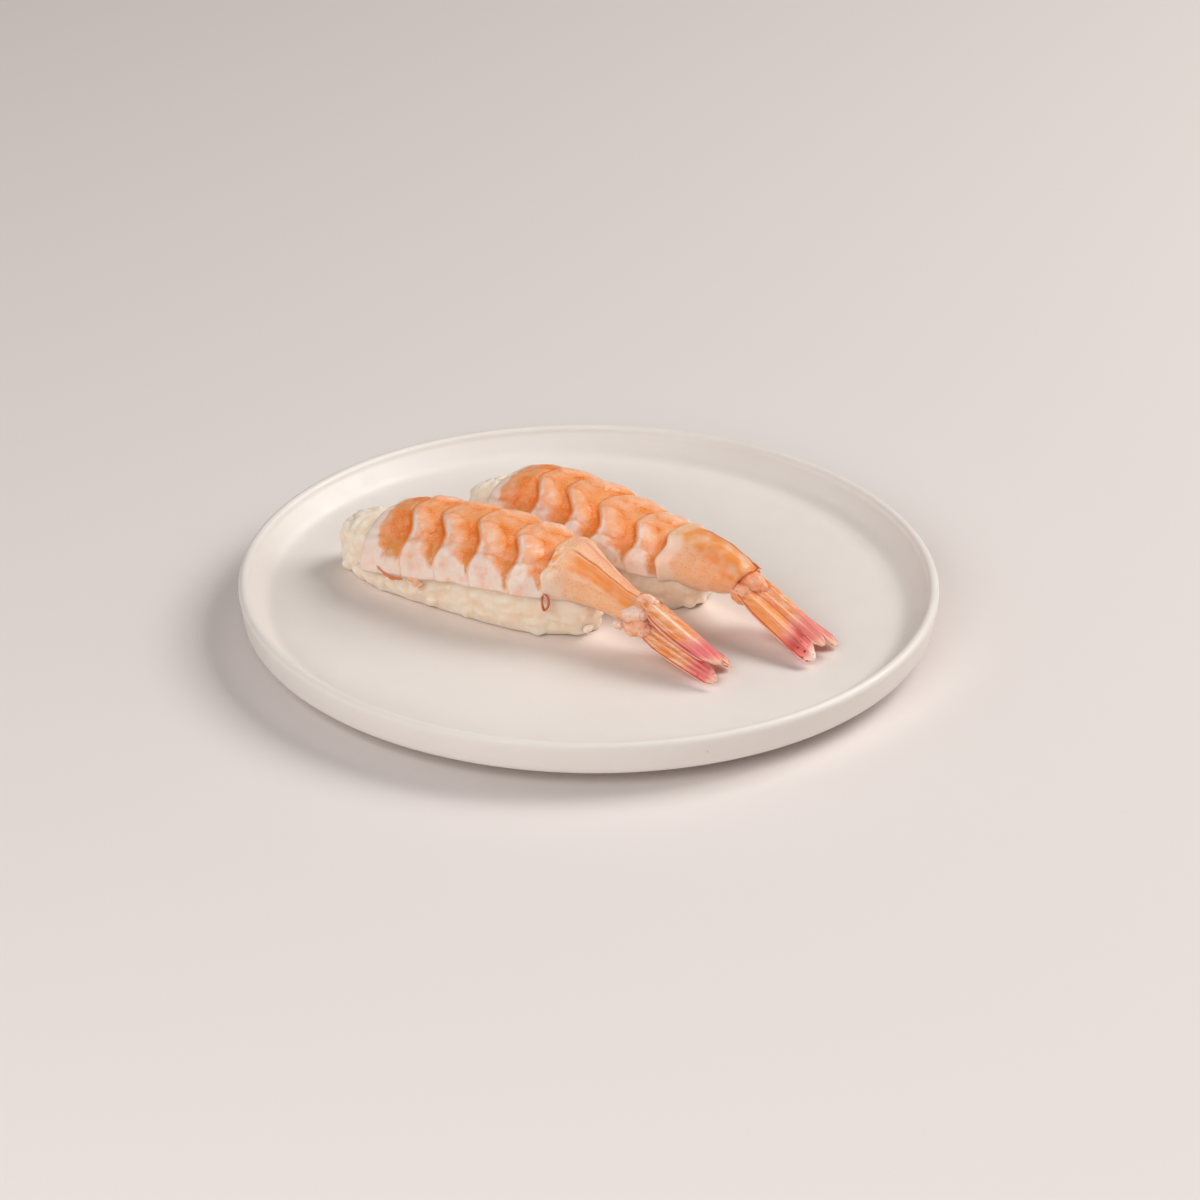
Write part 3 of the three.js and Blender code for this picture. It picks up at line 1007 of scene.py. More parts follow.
@dataclass(frozen=True)
class Flesh:
    """The opened shrimp as it lies over the rice, its skin in segments."""

    crest: SoftLine
    half_width: SoftLine
    skirt: SoftLine
    joints: tuple[Joint, ...]
    start: float
    finish: float
    power: float = 2.2
    under_power: float = 3.0
    rim: float = 0.9
    rim_thickness: float = 0.12  # share of the thickness that the edges keep
    lip: float = 1.2  # height of the lobes in mm, about
    groove: tuple[float, float, float] = (0.25, 0.53, 0.04)  # depth in mm, place on the flank and width
    depth: SoftLine = SoftLine(((-10, 1.0), (8, 0.96), (22, 0.84)))  # of the colour, along the piece
    thickens: tuple[float, float] = (0.42, 0.8)  # shares of a segment between which the orange skin thickens
    thin: float = 0.4  # its density behind a joint
    full: float = 0.66  # and before one
    flap: float = 0.66  # where on the flank it ends
    least: float = 0.06
    joint_line: float = 0.56
    bare_head: float = 3.5  # mm without colour at the head end
    columns: int = 230
    rows: int = 110

    def ceiling(self, s: float) -> float:
        """Give the height that things under the hanging edge stay below.

        Args:
            s: Place along the piece.

        Returns:
            The height over the plate, in mm.
        """
        if s > self.finish:
            return self.skirt.at(s) - 3
        return self.skirt.at(s) - GAP

    def spot(self, s: float, q: float) -> Spot:
        """Find a point's place in its segment.

        Args:
            s: Place along the piece.
            q: Place across it, from -1 to 1.

        Returns:
            The place.
        """
        places = [self.start - 3, *(joint.at(q) for joint in self.joints), self.finish + 12]
        i = next(i for i, place in enumerate(places) if s < place)
        behind, ahead = s - places[i - 1], places[i] - s
        joint = self.joints[i - 1] if i <= len(self.joints) else None
        return Spot(behind, ahead, behind / (places[i] - places[i - 1]), i == 1, joint)

    def relief(self, s: float, q: float) -> float:
        """Give the skin's height over the plain drape: two rows of lobes, and a groove between the rows.

        Args:
            s: Place along the piece.
            q: Place across it, from -1 to 1.

        Returns:
            The height in mm.
        """
        spot = self.spot(s, q)
        side = abs(q)
        if spot.first:
            swell = 0.5
        else:
            swell = smooth(spot.behind, -0.2, 1.4) * fade(spot.share, 0.2, 1.0)
        puff = self.upper_lobe(spot, side) + 0.8 * self.lower_lobe(spot, side)
        height = self.lip * (0.45 + 0.5 * puff)
        depth, place, width = self.groove
        groove = depth * hump(side, place, width) * (1 - 0.4 * hump(spot.share, 0.5, 0.35))
        rough = 0.22 * wobble(s * 0.3, q * 6, 3.0) + 0.1 * wobble(s * 0.9, q * 16, 9.0)
        return height * swell - groove + rough

    @staticmethod
    def upper_lobe(spot: Spot, side: float) -> float:
        """Give 1 on the puffy lobe high on a segment's flank, 0 off it."""
        length, middle, depth = 0.42, 0.3, 0.22
        return fade(((spot.share - LOBES_AT) / length) ** 2 + ((side - middle) / depth) ** 2, 0.35, 1.1)

    @staticmethod
    def lower_lobe(spot: Spot, side: float) -> float:
        """Give 1 on the white lobe low on a segment's flank, 0 off it."""
        length, top, depth = 0.48, 0.8, 0.3
        return fade(((spot.share - LOBES_AT) / length) ** 2 + (min(0.0, side - top) / depth) ** 2, 0.6, 1.15)

    def pigment(self, s: float, q: float) -> float:
        """Give the density of the orange skin: full before a joint, thin behind it, nearly none on the flaps.

        Args:
            s: Place along the piece.
            q: Place across it, from -1 to 1.

        Returns:
            The density, from 0 to about 1, with the painted highlight and painted glow behind the joints.
        """
        spot = self.spot(s, q)
        blotch = wobble(s * 0.35, q * 5, 21.0)
        side = abs(q) + 0.05 * blotch
        pale = fade(spot.share + 0.12 * blotch, *self.thickens)
        thin = self.thin - 0.1 * smooth(side, 0.1, 0.28) - 0.26 * smooth(side, 0.42, 0.64)
        thin -= 0.05 * self.upper_lobe(spot, side)
        low_edge = self.flap + 0.06 * smooth(spot.share, 0.6, 0.9)
        full = self.full * fade(side, low_edge - 0.06, low_edge + 0.04) - 0.14 * fade(side, 0.05, 0.16)
        if spot.first:
            density = 0.54 * fade(side, 0.52, 0.6) - 0.18 * self.upper_lobe(spot, side)
            density = max(density, full * smooth(spot.share, 0.45, 0.7))
        else:
            line = hump(spot.behind, 0.0, 0.32) * fade(side, 0.62, 0.9)
            # painted glow: a warm tint on the step just behind each joint, a face that lies in shade
            painted_step_glow = 0.24 * hump(spot.behind, 0.5, 0.6) * (1 - 0.5 * smooth(side, 0.5, 0.7))
            # painted highlight: the skin is made paler on a rim just behind each joint, high on the flank
            rim = hump(spot.behind, 1.2, 0.6) * hump(side, 0.33, 0.18)
            arc = hump(self.lower_lobe(spot, side), 0.45, 0.25) * hump(spot.share, 0.5, 0.3)
            density = max(thin * pale + full * (1 - pale) - 0.32 * rim, painted_step_glow) + self.joint_line * line
            density += 0.22 * arc * smooth(wobble(s * 0.2, q * 2, 4.0), 0.0, 0.3)
            ring = hump(self.upper_lobe(spot, side + 0.04 * blotch), 0.4, 0.22)
            density += 0.16 * (ring * smooth(spot.share, 0.15, 0.35))
        seam = hump(spot.ahead, 0.1, 0.45) if spot.joint else 0.0
        density += 0.34 * seam * fade(side, 0.55, 0.68) * smooth(side, 0.1, 0.24)
        density += 0.12 * blotch * fade(side, 0.4, 0.7)
        slant = 3.4 * side + 1.3 * wobble(q * 6, 2.0, 0.0)
        bare = smooth(s - self.start - slant, self.bare_head - 2.0, self.bare_head - 1.0)
        return max(0.0, density) * bare * self.depth.at(s) + self.least

    def streak(self, s: float, q: float) -> float:
        """Give the brownish streaks that hang down the flaps just before each joint.

        Args:
            s: Place along the piece.
            q: Place across it, from -1 to 1.

        Returns:
            The density of the streak there, from 0 to 1.
        """
        spot = self.spot(s, q)
        if spot.joint is None:
            return 0.0
        side = abs(q)
        wander = 0.07 * wobble(s * 0.6, q * 9, 40.0)
        end = spot.joint.drop + 0.04 * wobble(s * 1.1, 3.0, 1.0)
        narrowing = spot.joint.streak * (1 - (1 - spot.joint.blunt) * smooth(side, 0.45, end))
        near = smooth(spot.share, 1 - narrowing + wander, 1 - narrowing * 0.6)
        main = near * smooth(side, 0.46, 0.64) * fade(side, end - 0.08, end + 0.03)
        ghost = hump(spot.share, 0.42 + wander, 0.13) * smooth(side, 0.6, 0.7) * fade(side, 0.8, 0.95)
        ghost *= smooth(wobble(spot.joint.ridge, q, 6.0), -0.3, 0.4)
        return max(0.9 * main, 0.35 * ghost)

    def skin(self, s: float, q: float, depth: float) -> Vector:
        """Find a point of the drape.

        Args:
            s: Place along the piece.
            q: Place across it, from -1 to 1.
            depth: How far under the plain drape the point lies, in mm, negative above it.

        Returns:
            The point, with t measured from the piece's bent middle line.
        """
        turn = q * math.pi / 2
        side, up = math.sin(turn), math.cos(turn)
        half, low = self.half_width.at(s), self.skirt.at(s)
        rise = self.crest.at(s) - low
        reach = square_reach(self.power, side, up)
        outward = Vector((0, side / half, up / rise)).normalized()
        wave = 0.5 * wobble(s * 0.28, 5.0 if q > 0 else 1.0, 0) * abs(side) ** 6
        return Vector((s, half * side * reach, low + rise * up * reach + wave)) - outward * depth

    def inside(self, piece: "Nigiri", s: float, q: float) -> Vector:
        """Find a point of the drape's underside, just over the rice or inside the shell.

        Args:
            piece: The piece that the flesh belongs to.
            s: Place along the piece.
            q: Place across it, from -1 to 1.

        Returns:
            The point, with t measured from the piece's bent middle line.
        """
        rice = piece.rice
        turn = q * math.pi / 2
        side, up = math.sin(turn), math.cos(turn)
        end = min(0.98, abs(s - rice.middle) / (rice.length / 2))
        roof = (1 - end**rice.power) ** (1 / rice.power)
        slimmer = 1 - rice.taper * smooth(end, rice.taper_start, 1)
        half = min(rice.width / 2 * slimmer * max(roof, 0.7) + 0.1, self.half_width.at(s) - 1.0)
        low = self.skirt.at(s)
        top = min(GAP + rice.height + 0.1, self.crest.at(s) - 2.0)
        reach = square_reach(self.under_power, side, up)
        return Vector((s, half * side * reach, low + (top - low) * up * reach))

    def build(self, piece: "Nigiri", finish: Material) -> None:
        """Build and dress the flesh.

        Args:
            piece: The piece that the flesh belongs to.
            finish: Its material.
        """
        bm = sheet(self.columns, self.rows)

        def place(v: Vector) -> tuple[Vector, Numbers]:
            """Find a vertex's place: a point between the upper and the under skin, which close at the edges.

            Args:
                v: The vertex of the sheet, whose upper side is the upper skin.

            Returns:
                The place in the part's frame, and the numbers for the finish.
            """
            q = v.y
            ragged = 0.5 * wobble(q * 4, 7.0, piece.rice.seed)
            s = self.start + ragged * (1 - v.x) / 2 + (self.finish - self.start) * (v.x + 1) / 2
            to_end = min(s - self.start - ragged * (1 - v.x) / 2, self.finish - s) / (2 * self.rim)
            to_edge = (1 - abs(q)) * self.half_width.at(s) * 1.3 / self.rim
            round_off = rounded(1 - to_end) * rounded(1 - to_edge)
            upper = self.skin(s, q, -self.relief(s, q) * round_off)
            under = self.inside(piece, s, q)
            middle = under.lerp(upper, 0.5)
            thick = self.rim_thickness + (1 - self.rim_thickness) * round_off
            point = middle.lerp(upper if v.z > -0.05 else under, thick)
            point.y += piece.sway.at(s)
            return piece.axes.place(point), {"pigment": self.pigment(s, q), "streak": self.streak(s, q)}

        reshaped(bm, place)
        dressed(f"{piece.name}_shrimp_flesh", bm, finish, Slot.FLESH, f"{piece.name}_shrimp")


@dataclass(frozen=True)
class Shell:
    """The last segment, still in its shell: a keeled sleeve that narrows to the root of the fan."""

    crest: SoftLine
    bottom: SoftLine
    half_width: SoftLine
    roll: float  # lean of the keel to the far side, in degrees
    rear: tuple[float, float]  # place of the rear margin at the keel and opposite it
    panel: tuple[float, float]  # turn from the keel to the panel's lower edge, at both margins
    keel: float = 0.45
    lip: float = 0.3
    power: float = 2.1
    far_orange: float = 0.25
    blotch: float = 0.15
    soft: float = 0.14
    ease: float = 0.3  # share of the length over which the panel starts
    tint: float = 0.3
    cap: float = 0.05  # share of the ball's rings that closes each end
    cap_round: float = 0.3
    cap_reach: float = 0.4
    wall: float = 0.07  # thickness of the margin, as a share of the section
    torn: float = 1.0
    # strength of the pale patches painted on the shell as sheen
    painted_sheen: float = 0.08
    line: float = 0.035

    def front_edge(self, piece: "Nigiri", turn: float) -> float:
        """Give the place of the front margin at a turn round the shell, where 0 is up."""
        return piece.flesh.joints[-1].at(min(1.0, abs(turn) / (math.pi / 2)))

    def rear_edge(self, turn: float) -> float:
        """Give the place of the rear margin at a turn round the shell, where 0 is up."""
        top, low = self.rear
        return low + (top - low) * (1 + math.cos(turn - math.radians(self.roll))) / 2

    def outline(self, piece: "Nigiri", s: float, turn: float, extra: float) -> Vector:
        """Find a point of the outline of a section, clear of the rice under it.

        Args:
            piece: The piece that the shell belongs to.
            s: Place along the piece.
            turn: Turn round the section, where 0 is up.
            extra: Height over the plain outline, in mm.

        Returns:
            The point, with t measured from the piece's bent middle line.
        """
        side, up = math.sin(turn), math.cos(turn)
        middle = (self.crest.at(s) + self.bottom.at(s)) / 2
        half_height = (self.crest.at(s) - self.bottom.at(s)) / 2
        reach = square_reach(self.power, side, up)
        t = (self.half_width.at(s) + extra) * side * reach
        h = middle + (half_height + extra) * up * reach
        return Vector((s, t, max(h, piece.rice.top(s, t) + GAP + 0.05)))

    def build(self, piece: "Nigiri", finish: Material) -> None:
        """Shape and dress the shell.

        Args:
            piece: The piece that the shell belongs to.
            finish: Its material.
        """
        bm = ball(128, 120)
        lean = math.radians(self.roll)

        def place(v: Vector) -> tuple[Vector, Numbers]:
            """Find a vertex's place: on the outline, or on one of the ends, which close inwards.

            Args:
                v: The vertex of the unit ball, whose poles are the two ends.

            Returns:
                The place in the part's frame, and the numbers for the finish.
            """
            turn = math.atan2(v.y, v.z)
            share = math.acos(max(-1.0, min(1.0, -v.x))) / math.pi
            front, rear = self.front_edge(piece, turn), self.rear_edge(turn)
            along = (share - self.cap) / (1 - 2 * self.cap)
            s = front + (rear - front) * min(1.0, max(0.0, along))
            inward = max(-along, along - 1) * (1 - 2 * self.cap) / self.cap
            rounding = min(1.0, max(0.0, inward) / self.cap_round)
            s += self.cap_reach * (1 - math.cos(rounding * math.pi / 2)) * (1 if along < 0 else -1)
            away = math.atan2(math.sin(turn - lean), math.cos(turn - lean))
            keel = sum(self.keel * share * hump(away, at, width) for share, at, width in SHELL_RIDGES)
            groove = sum(depth * hump(away, at, width) for depth, at, width in SHELL_GROOVES)
            rim = self.lip * hump(along, 0.02, 0.035) + 0.2 * hump(along, 0.985, 0.02)
            rough = 0.1 * wobble(s * 0.35, turn * 2.2, 8.0)
            outline = self.outline(piece, s, turn, keel - groove * smooth(along, 0.05, 0.2) + rim + rough)
            low = max(self.bottom.at(s), piece.rice.top(s, 0) + 1.0)
            centre = Vector((s, 0, (self.crest.at(s) + low) / 2))
            scale = 1 - self.wall * rounding - (1 - self.wall) * smooth(inward, self.cap_round, 1.0)
            point = centre.lerp(outline, scale)
            point.y += piece.sway.at(s)
            return piece.axes.place(point), self.numbers(s, along, away)

        reshaped(bm, place)
        dressed(f"{piece.name}_tail_shell", bm, finish, Slot.SHELL, f"{piece.name}_tail")

    def numbers(self, s: float, along: float, away: float) -> Numbers:
        """Give the numbers for the finish.

        Args:
            s: Place along the piece.
            along: Share of the way from the front margin to the rear one.
            away: Turn from the keel, positive on the far side.

        Returns:
            The named numbers.
        """
        near = -away
        low = self.panel[0] + (self.panel[1] - self.panel[0]) * smooth(along, 0.1, 1.0)
        wander = 0.1 * wobble(s * 0.5, away * 1.5, 30.0)
        soft = self.soft * (1 + smooth(along, 0.5, 1.0))
        panel = smooth(near, 0.03, 0.12) * fade(near + wander, low - soft, low + soft)
        panel *= smooth(along, 0.06, 0.06 + self.ease)
        blotch = 1 - self.blotch + 2 * self.blotch * wobble(s * 0.35, away * 2.0, 2.0)
        tint = self.tint * (0.7 + 0.6 * smooth(along, 0.2, 0.9))
        margin = hump(along, 0.99, 0.012) + 0.5 * hump(along, 0.0, 0.01)
        outline = 0.5 * hump(away, 0.62, 0.05) * smooth(along, 0.1, 0.3)
        torn = self.torn * fade(along, 0.05, 0.15) * smooth(near, -0.3, 0.1) * fade(near, 0.4, 0.9)
        flake = wobble(s * 1.1, away * 7, 12.0)
        lobe = fade(along + wander, 0.1, 0.24) * smooth(near, 0.55, 0.9)
        # painted sheen: pale patches in soft clouds, from the middle of the shell to its rear
        painted_sheen = smooth(wobble(s * 0.24, away * 1.7, 17.0), 0.05, 0.4) * smooth(along, 0.15, 0.3)
        white = max(0.5 * lobe, 0.5 * torn * smooth(flake, -0.05, 0.25), self.painted_sheen * painted_sheen)
        beyond = self.far_orange * smooth(away, 0.02, 0.2) * (1 - 0.6 * hump(away, 0.33, 0.15))
        tint *= 1 - 0.6 * lobe
        scraps = 0.6 * torn * smooth(-flake, -0.05, 0.25)
        keel_line = hump(away, 0, self.line) * smooth(along, 0.12, 0.24)
        return {
            "pigment": max(panel * blotch, beyond, tint) + 0.4 * margin + scraps,
            "ridge": max(keel_line, outline) * 0.9 + 0.25 * margin,
            "rose": 0.25 * hump(away, 0.55, 0.25),
            "clear": white,
            "spots": 0.0,
        }


@dataclass(frozen=True)
class Blade:
    """One flat blade of the fan, between two edges that each run from root to tip, as (s, t, h)."""

    name: str
    near: tuple[Place, Place]
    far: tuple[Place, Place]
    ribs: int = 2
    camber: float = 0.5
    thickness: float = 0.9
    tip_round: float = 0.06
    tip_slant: float = 0.0
    orange: float = 0.9
    rose: float = 0.8
    rose_start: float = 0.55
    tip_clear: float = 0.2
    spots: float = 0.0
    # height of a low ridge down the blade's middle, and strength of the painted highlight along it
    streak: float = 0.0
    band: float = 0.0
    inset: float = 0.08
    bulge: tuple[float, float] = (0.08, 0.05)
    rose_fade: float = 0.25
    rib_height: float = 0.22
    root_close: tuple[float, float] = (0.07, 0.075)  # where the root's rounding ends, and its length
    tip_close: tuple[float, float] = (0.915, 0.09)  # where the tip's rounding starts, and its length

    def point(self, along: float, across: float) -> Vector:
        """Find a point of the blade's middle sheet.

        Args:
            along: 0 at the root, 1 at the tip.
            across: 0 at the near edge, 1 at the far edge.

        Returns:
            The point on the piece's axes.
        """
        near = Vector(self.near[0]).lerp(Vector(self.near[1]), along)
        far = Vector(self.far[0]).lerp(Vector(self.far[1]), along)
        swell = math.sin(math.pi * min(1.0, max(0.0, along)))
        low, high = -self.bulge[0] * swell, 1 + self.bulge[1] * swell
        return near.lerp(far, low + (high - low) * across)

    def build(self, piece: "Nigiri", finish: Material) -> None:
        """Shape and dress the blade: cambered and ribbed, with a blunt rounded tip.

        Args:
            piece: The piece that the blade belongs to.
            finish: Its material.
        """
        bm = sheet(72, 60)
        ahead = (self.point(1, 0.5) - self.point(0, 0.5)).normalized()

        def place(v: Vector) -> tuple[Vector, Numbers]:
            """Find a vertex's place over or under the blade's middle sheet.

            Args:
                v: The vertex of the sheet.

            Returns:
                The place in the part's frame, and the numbers for the finish.
            """
            share = (v.x + 1) / 2
            ending = 1 - self.tip_round * abs(v.y) ** 2.5 + self.tip_slant * v.y / 2
            along = (share * (1 + self.inset) - self.inset) * ending
            gather = 1 - 0.3 * fade(share, 0.0, 0.3)
            closing = rounded(share - self.tip_close[0], self.tip_close[1])
            closing *= rounded(self.root_close[0] - share, self.root_close[1])
            across = 0.5 + v.y / 2 * gather * (0.3 + 0.7 * closing)
            level = self.point(along, 1) - self.point(along, 0)
            up = ahead.cross(level).normalized()
            edge = math.sqrt(max(0.0, 1 - v.y**4))
            ribbing = self.rib_height * math.cos(v.y * math.pi * self.ribs)
            ribbing *= smooth(share, 0.02, 0.25) * (1 - 0.5 * share)
            height = self.camber * (1 - v.y * v.y) * math.sin(math.pi * min(1.0, share * 0.8 + 0.2))
            height += ribbing + 0.2 * self.streak * hump(v.y, 0.0, 0.16)
            thick = self.thickness * (1 - 0.5 * share) * max(0.14, edge * (0.2 + 0.8 * closing))
            height += thick / 2 if v.z > -0.05 else -thick / 2
            point = self.point(along, across) + up * height
            point.z = max(point.z, GAP / 2 + (0.06 if v.z > -0.05 else 0.0))
            return piece.axes.place(point), self.numbers(share, v.y)

        reshaped(bm, place)
        dressed(f"{piece.name}_fan_{self.name}", bm, finish, Slot.SHELL)

    def numbers(self, share: float, aside: float) -> Numbers:
        """Give the numbers for the finish.

        Args:
            share: Share of the way from root to tip.
            aside: Place across, from -1 at the near edge to 1 at the far edge.

        Returns:
            The named numbers.
        """
        rose = smooth(share, self.rose_start, self.rose_start + self.rose_fade)
        out = abs(aside)
        margin = hump(out, 0.86, 0.07)
        wander = 0.04 * wobble(share * 5, self.ribs, self.near[0][1])
        waves = math.pi * self.ribs / 2
        away = abs(math.sin((aside + wander) * waves)) / waves
        line = fade(away, 0.01, 0.065) * smooth(share, 0.05, 0.2) * fade(share, 0.8, 0.95)
        line *= fade(out, 0.68, 0.8)
        # painted highlight: a pale streak down the blade's middle
        pale = self.streak * hump(aside + 2 * wander, 0.12, 0.16)
        pale *= smooth(share, 0.08, 0.2) * fade(share, 0.6, 0.8)
        line = max(line, 0.8 * hump(share - 0.03 * aside * aside, 0.1, 0.018))
        tip = smooth(share, 0.88, 0.97)
        clear = max(self.tip_clear * tip, pale, 0.4 * smooth(out, 0.86, 0.97))
        red = max(0.85 * margin, 0.5 * line * (1 - pale), self.band * hump(share, 0.76, 0.08))
        return {
            "pigment": self.orange * (1 - 0.35 * hump(share, 0.1, 0.12)) * (1 - 0.7 * rose),
            "ridge": (1 - 0.1 * tip) * red,
            "rose": self.rose * rose * (1 - 0.6 * tip),
            "clear": clear,
            "spots": self.spots * smooth(share, 0.74, 0.84),
        }


@dataclass(frozen=True)
class Lump:
    """A small rounded lump on the tail, such as a knob at the root of the fan: two ends and a thickness."""

    name: str
    start: Place
    end: Place
    radius: float
    taper: float = 0.0
    orange: float = 0.3
    red: float = 0.0
    # how pale the lump's upper side is painted, as a highlight
    clear: float = 0.4

    def build(self, piece: "Nigiri", finish: Material) -> None:
        """Shape and dress the lump.

        Args:
            piece: The piece that the lump belongs to.
            finish: Its material.
        """
        bm = ball(32, 32)
        start, end = Vector(self.start), Vector(self.end)
        ahead = (end - start).normalized()
        side = Vector((-ahead.y, ahead.x, 0)).normalized()
        up = ahead.cross(side)

        def place(v: Vector) -> tuple[Vector, Numbers]:
            """Find a vertex's place on the uneven ball between the two ends.

            Args:
                v: The vertex of the unit ball.

            Returns:
                The place in the part's frame, and the numbers for the finish.
            """
            share = (v.x + 1) / 2
            uneven = 1 + 0.3 * noise.noise(v * 1.3 + start) + 0.16 * noise.noise(v * 3.2 + start)
            radius = self.radius * (1 - self.taper * share) * uneven
            point = start.lerp(end, share) + (side * v.y + up * v.z) * radius
            lines = 0.4 * hump(v.x, 0.72, 0.05), 0.25 * hump(v.z, 0.1, 0.08)
            # the pale share grows towards the lump's upper side: a painted highlight
            numbers = {
                "pigment": self.orange,
                "ridge": max(self.red * (0.4 + 0.6 * share), *lines),
                "rose": 0.1,
                "clear": self.clear * smooth(v.z, -0.6, 0.6),
                "spots": 0.15,
            }
            return piece.axes.place(point), numbers

        reshaped(bm, place)
        dressed(f"{piece.name}_{self.name}", bm, finish, Slot.SHELL)


@dataclass(frozen=True)
class Scrap:
    """A thin thread or scrap of shell that sticks to a piece, through a few points as (s, t, h)."""

    name: str
    points: tuple[Place, ...]
    radius: float
    closed: bool = False
    orange: float = 0.5
    red: float = 0.8
    clear: float = 0.0

    def at(self, share: float) -> Vector:
        """Find a place on the soft line through the points.

        Args:
            share: Share of the way along the line.

        Returns:
            The place on the piece's axes.
        """
        knots = [Vector(point) for point in self.points]
        count = len(knots) if self.closed else len(knots) - 1
        span = min(count - 1, int(share * count))
        t = share * count - span
        if self.closed:
            a, b, c, d = (knots[(span + i) % len(knots)] for i in (-1, 0, 1, 2))
        else:
            a, b, c, d = (knots[min(len(knots) - 1, max(0, span + i))] for i in (-1, 0, 1, 2))
        curve = (a * 2 - b * 5 + c * 4 - d) * t**2 + (b * 3 - a - c * 3 + d) * t**3
        return (b * 2 + (c - a) * t + curve) / 2

    def build(self, piece: "Nigiri", finish: Material) -> None:
        """Shape and dress the scrap, as a thin tube with rounded ends.

        Args:
            piece: The piece that the scrap sticks to.
            finish: Its material.
        """
        bm = ball(12, 64)

        def place(v: Vector) -> tuple[Vector, Numbers]:
            """Find a vertex's place on the tube round the line.

            Args:
                v: The vertex of the unit ball, whose poles are the line's ends.

            Returns:
                The place in the part's frame, and the numbers for the finish.
            """
            share = math.acos(max(-1.0, min(1.0, -v.x))) / math.pi
            belly = math.sqrt(max(1e-6, 1 - v.x * v.x))
            ahead = (self.at(min(1.0, share + 0.01)) - self.at(max(0.0, share - 0.01))).normalized()
            side = ahead.cross(Vector((0, 0.3, 1))).normalized()
            up = side.cross(ahead)
            radius = self.radius * min(1.0, math.sin(math.pi * share) * 2.5)
            radius *= 1 + 0.2 * math.sin(share * 21)
            point = self.at(share) + (side * v.y + up * v.z) / belly * radius
            numbers = {"pigment": self.orange, "ridge": self.red, "clear": self.clear}
            return piece.axes.place(point), {**numbers, "rose": 0.0, "spots": 0.0}

        reshaped(bm, place)
        dressed(f"{piece.name}_{self.name}", bm, finish, Slot.SHELL)


@dataclass(frozen=True)
class Tail:
    """The last segment in its shell, the root of the fan, its blades, and scraps that stick to the piece."""

    shell: Shell
    lumps: tuple[Lump, ...]
    blades: tuple[Blade, ...]
    scraps: tuple[Scrap, ...] = ()

    def build(self, piece: "Nigiri", finish: Material, thin_finish: Material) -> None:
        """Build and dress everything in turn.

        Args:
            piece: The piece that the tail belongs to.
            finish: The shell's material.
            thin_finish: The material of everything else, which is thinner.
        """
        self.shell.build(piece, finish)
        for part in (*self.lumps, *self.blades, *self.scraps):
            part.build(piece, thin_finish)


@dataclass(frozen=True)
class Finishes:
    """The food's materials, made once."""

    rice: Material
    grain: Material
    flesh: Material
    shell: Material
    fan: Material


@dataclass(frozen=True)
class Nigiri:
    """One piece of shrimp nigiri."""

    name: str
    axes: Axes
    sway: SoftLine
    rice: RiceBlock
    flesh: Flesh
    tail: Tail

    def build(self, finishes: Finishes) -> None:
        """Build and dress the whole piece.

        Args:
            finishes: The food's materials.
        """
        self.rice.build(self, finishes.rice, finishes.grain)
        self.flesh.build(self, finishes.flesh)
        self.tail.build(self, finishes.shell, finishes.fan)


# Joints: place on the ridge, place on the flank, streak, drop, blunt
# Lumps: name, two ends, radius, taper, orange, red, clear
# Blades: name, near edge, far edge, ribs

FRONT_FLESH = Flesh(
    crest=SoftLine(((-22, 15.6), (-13, 18.4), (4, 19.8), (16, 19.4), (22.5, 18.4), (25.5, 16))),
    half_width=SoftLine(((-22, 11.6), (-14, 12.2), (10, 12.2), (17, 11.5), (22.5, 9.8), (25.5, 7.4))),
    skirt=SoftLine(((-22, 5), (-10, 6.8), (3, 9), (15, 10), (26, 9.8))),
    joints=(
        Joint(-14.3, -10.9, 0.46, 0.8, 0.8),
        Joint(-7, -2.2, 0.36, 0.84, 0.6),
        Joint(2.1, 6.4, 0.26, 0.86, 0.2),
        Joint(11.9, 16, 0.28, 0.96, 0.45),
        Joint(22.4, 23.4, 0.3, 0.86, 0.5),
    ),
    start=-22,
    finish=25.2,
)
FRONT_SHELL = Shell(
    crest=SoftLine(((22, 18.9), (26, 19.3), (31.5, 17.2), (36.5, 15.2), (41, 13.7), (46, 12.4))),
    bottom=SoftLine(((22, 7.6), (27, 7.2), (31.5, 7.1), (36.5, 6.8), (41, 6.4), (46, 6.6))),
    half_width=SoftLine(((22, 10.2), (24.5, 9.4), (28, 7.2), (32, 5.4), (37, 4.2), (42, 3.5), (46, 3.1))),
    roll=-16,
    rear=(44.5, 41.5),
    panel=(0.68, 0.85),
)
FRONT_LUMPS = (
    Lump("tail_spike", (42.6, -1.9, 13.5), (48.6, -2.2, 12.9), 0.7, 0.8, 0.6, 0.9, 0.0),
    Lump("fan_root", (41.5, -3.0, 11.3), (49.5, -3.6, 11.0), 2.4, 0.3, 0.8, 0.0, 0.1),
    Lump("fan_knob_near", (40.2, -5.2, 9.9), (46.4, -5.4, 10.6), 2.0, 0.1, 0.2, 0.0, 0.6),
    Lump("fan_collar_near", (41.4, -6.0, 7.2), (48.2, -6.4, 8.0), 1.7, -0.2, 0.45, 0.1, 0.2),
    Lump("fan_root_top", (42.4, -3.2, 12.9), (48.0, -3.0, 13.0), 1.6, 0.2, 0.4, 0.0, 0.35),
    Lump("root_bubble", (38.8, -6.2, 7.4), (41.2, -6.4, 7.2), 0.9, 0.0, 0.1, 0.0, 0.8),
    Lump("fan_knob_far", (40.0, 0.2, 9.0), (47.0, 0.6, 9.4), 2.2, 0.1, 0.3, 0.0, 0.4),
)
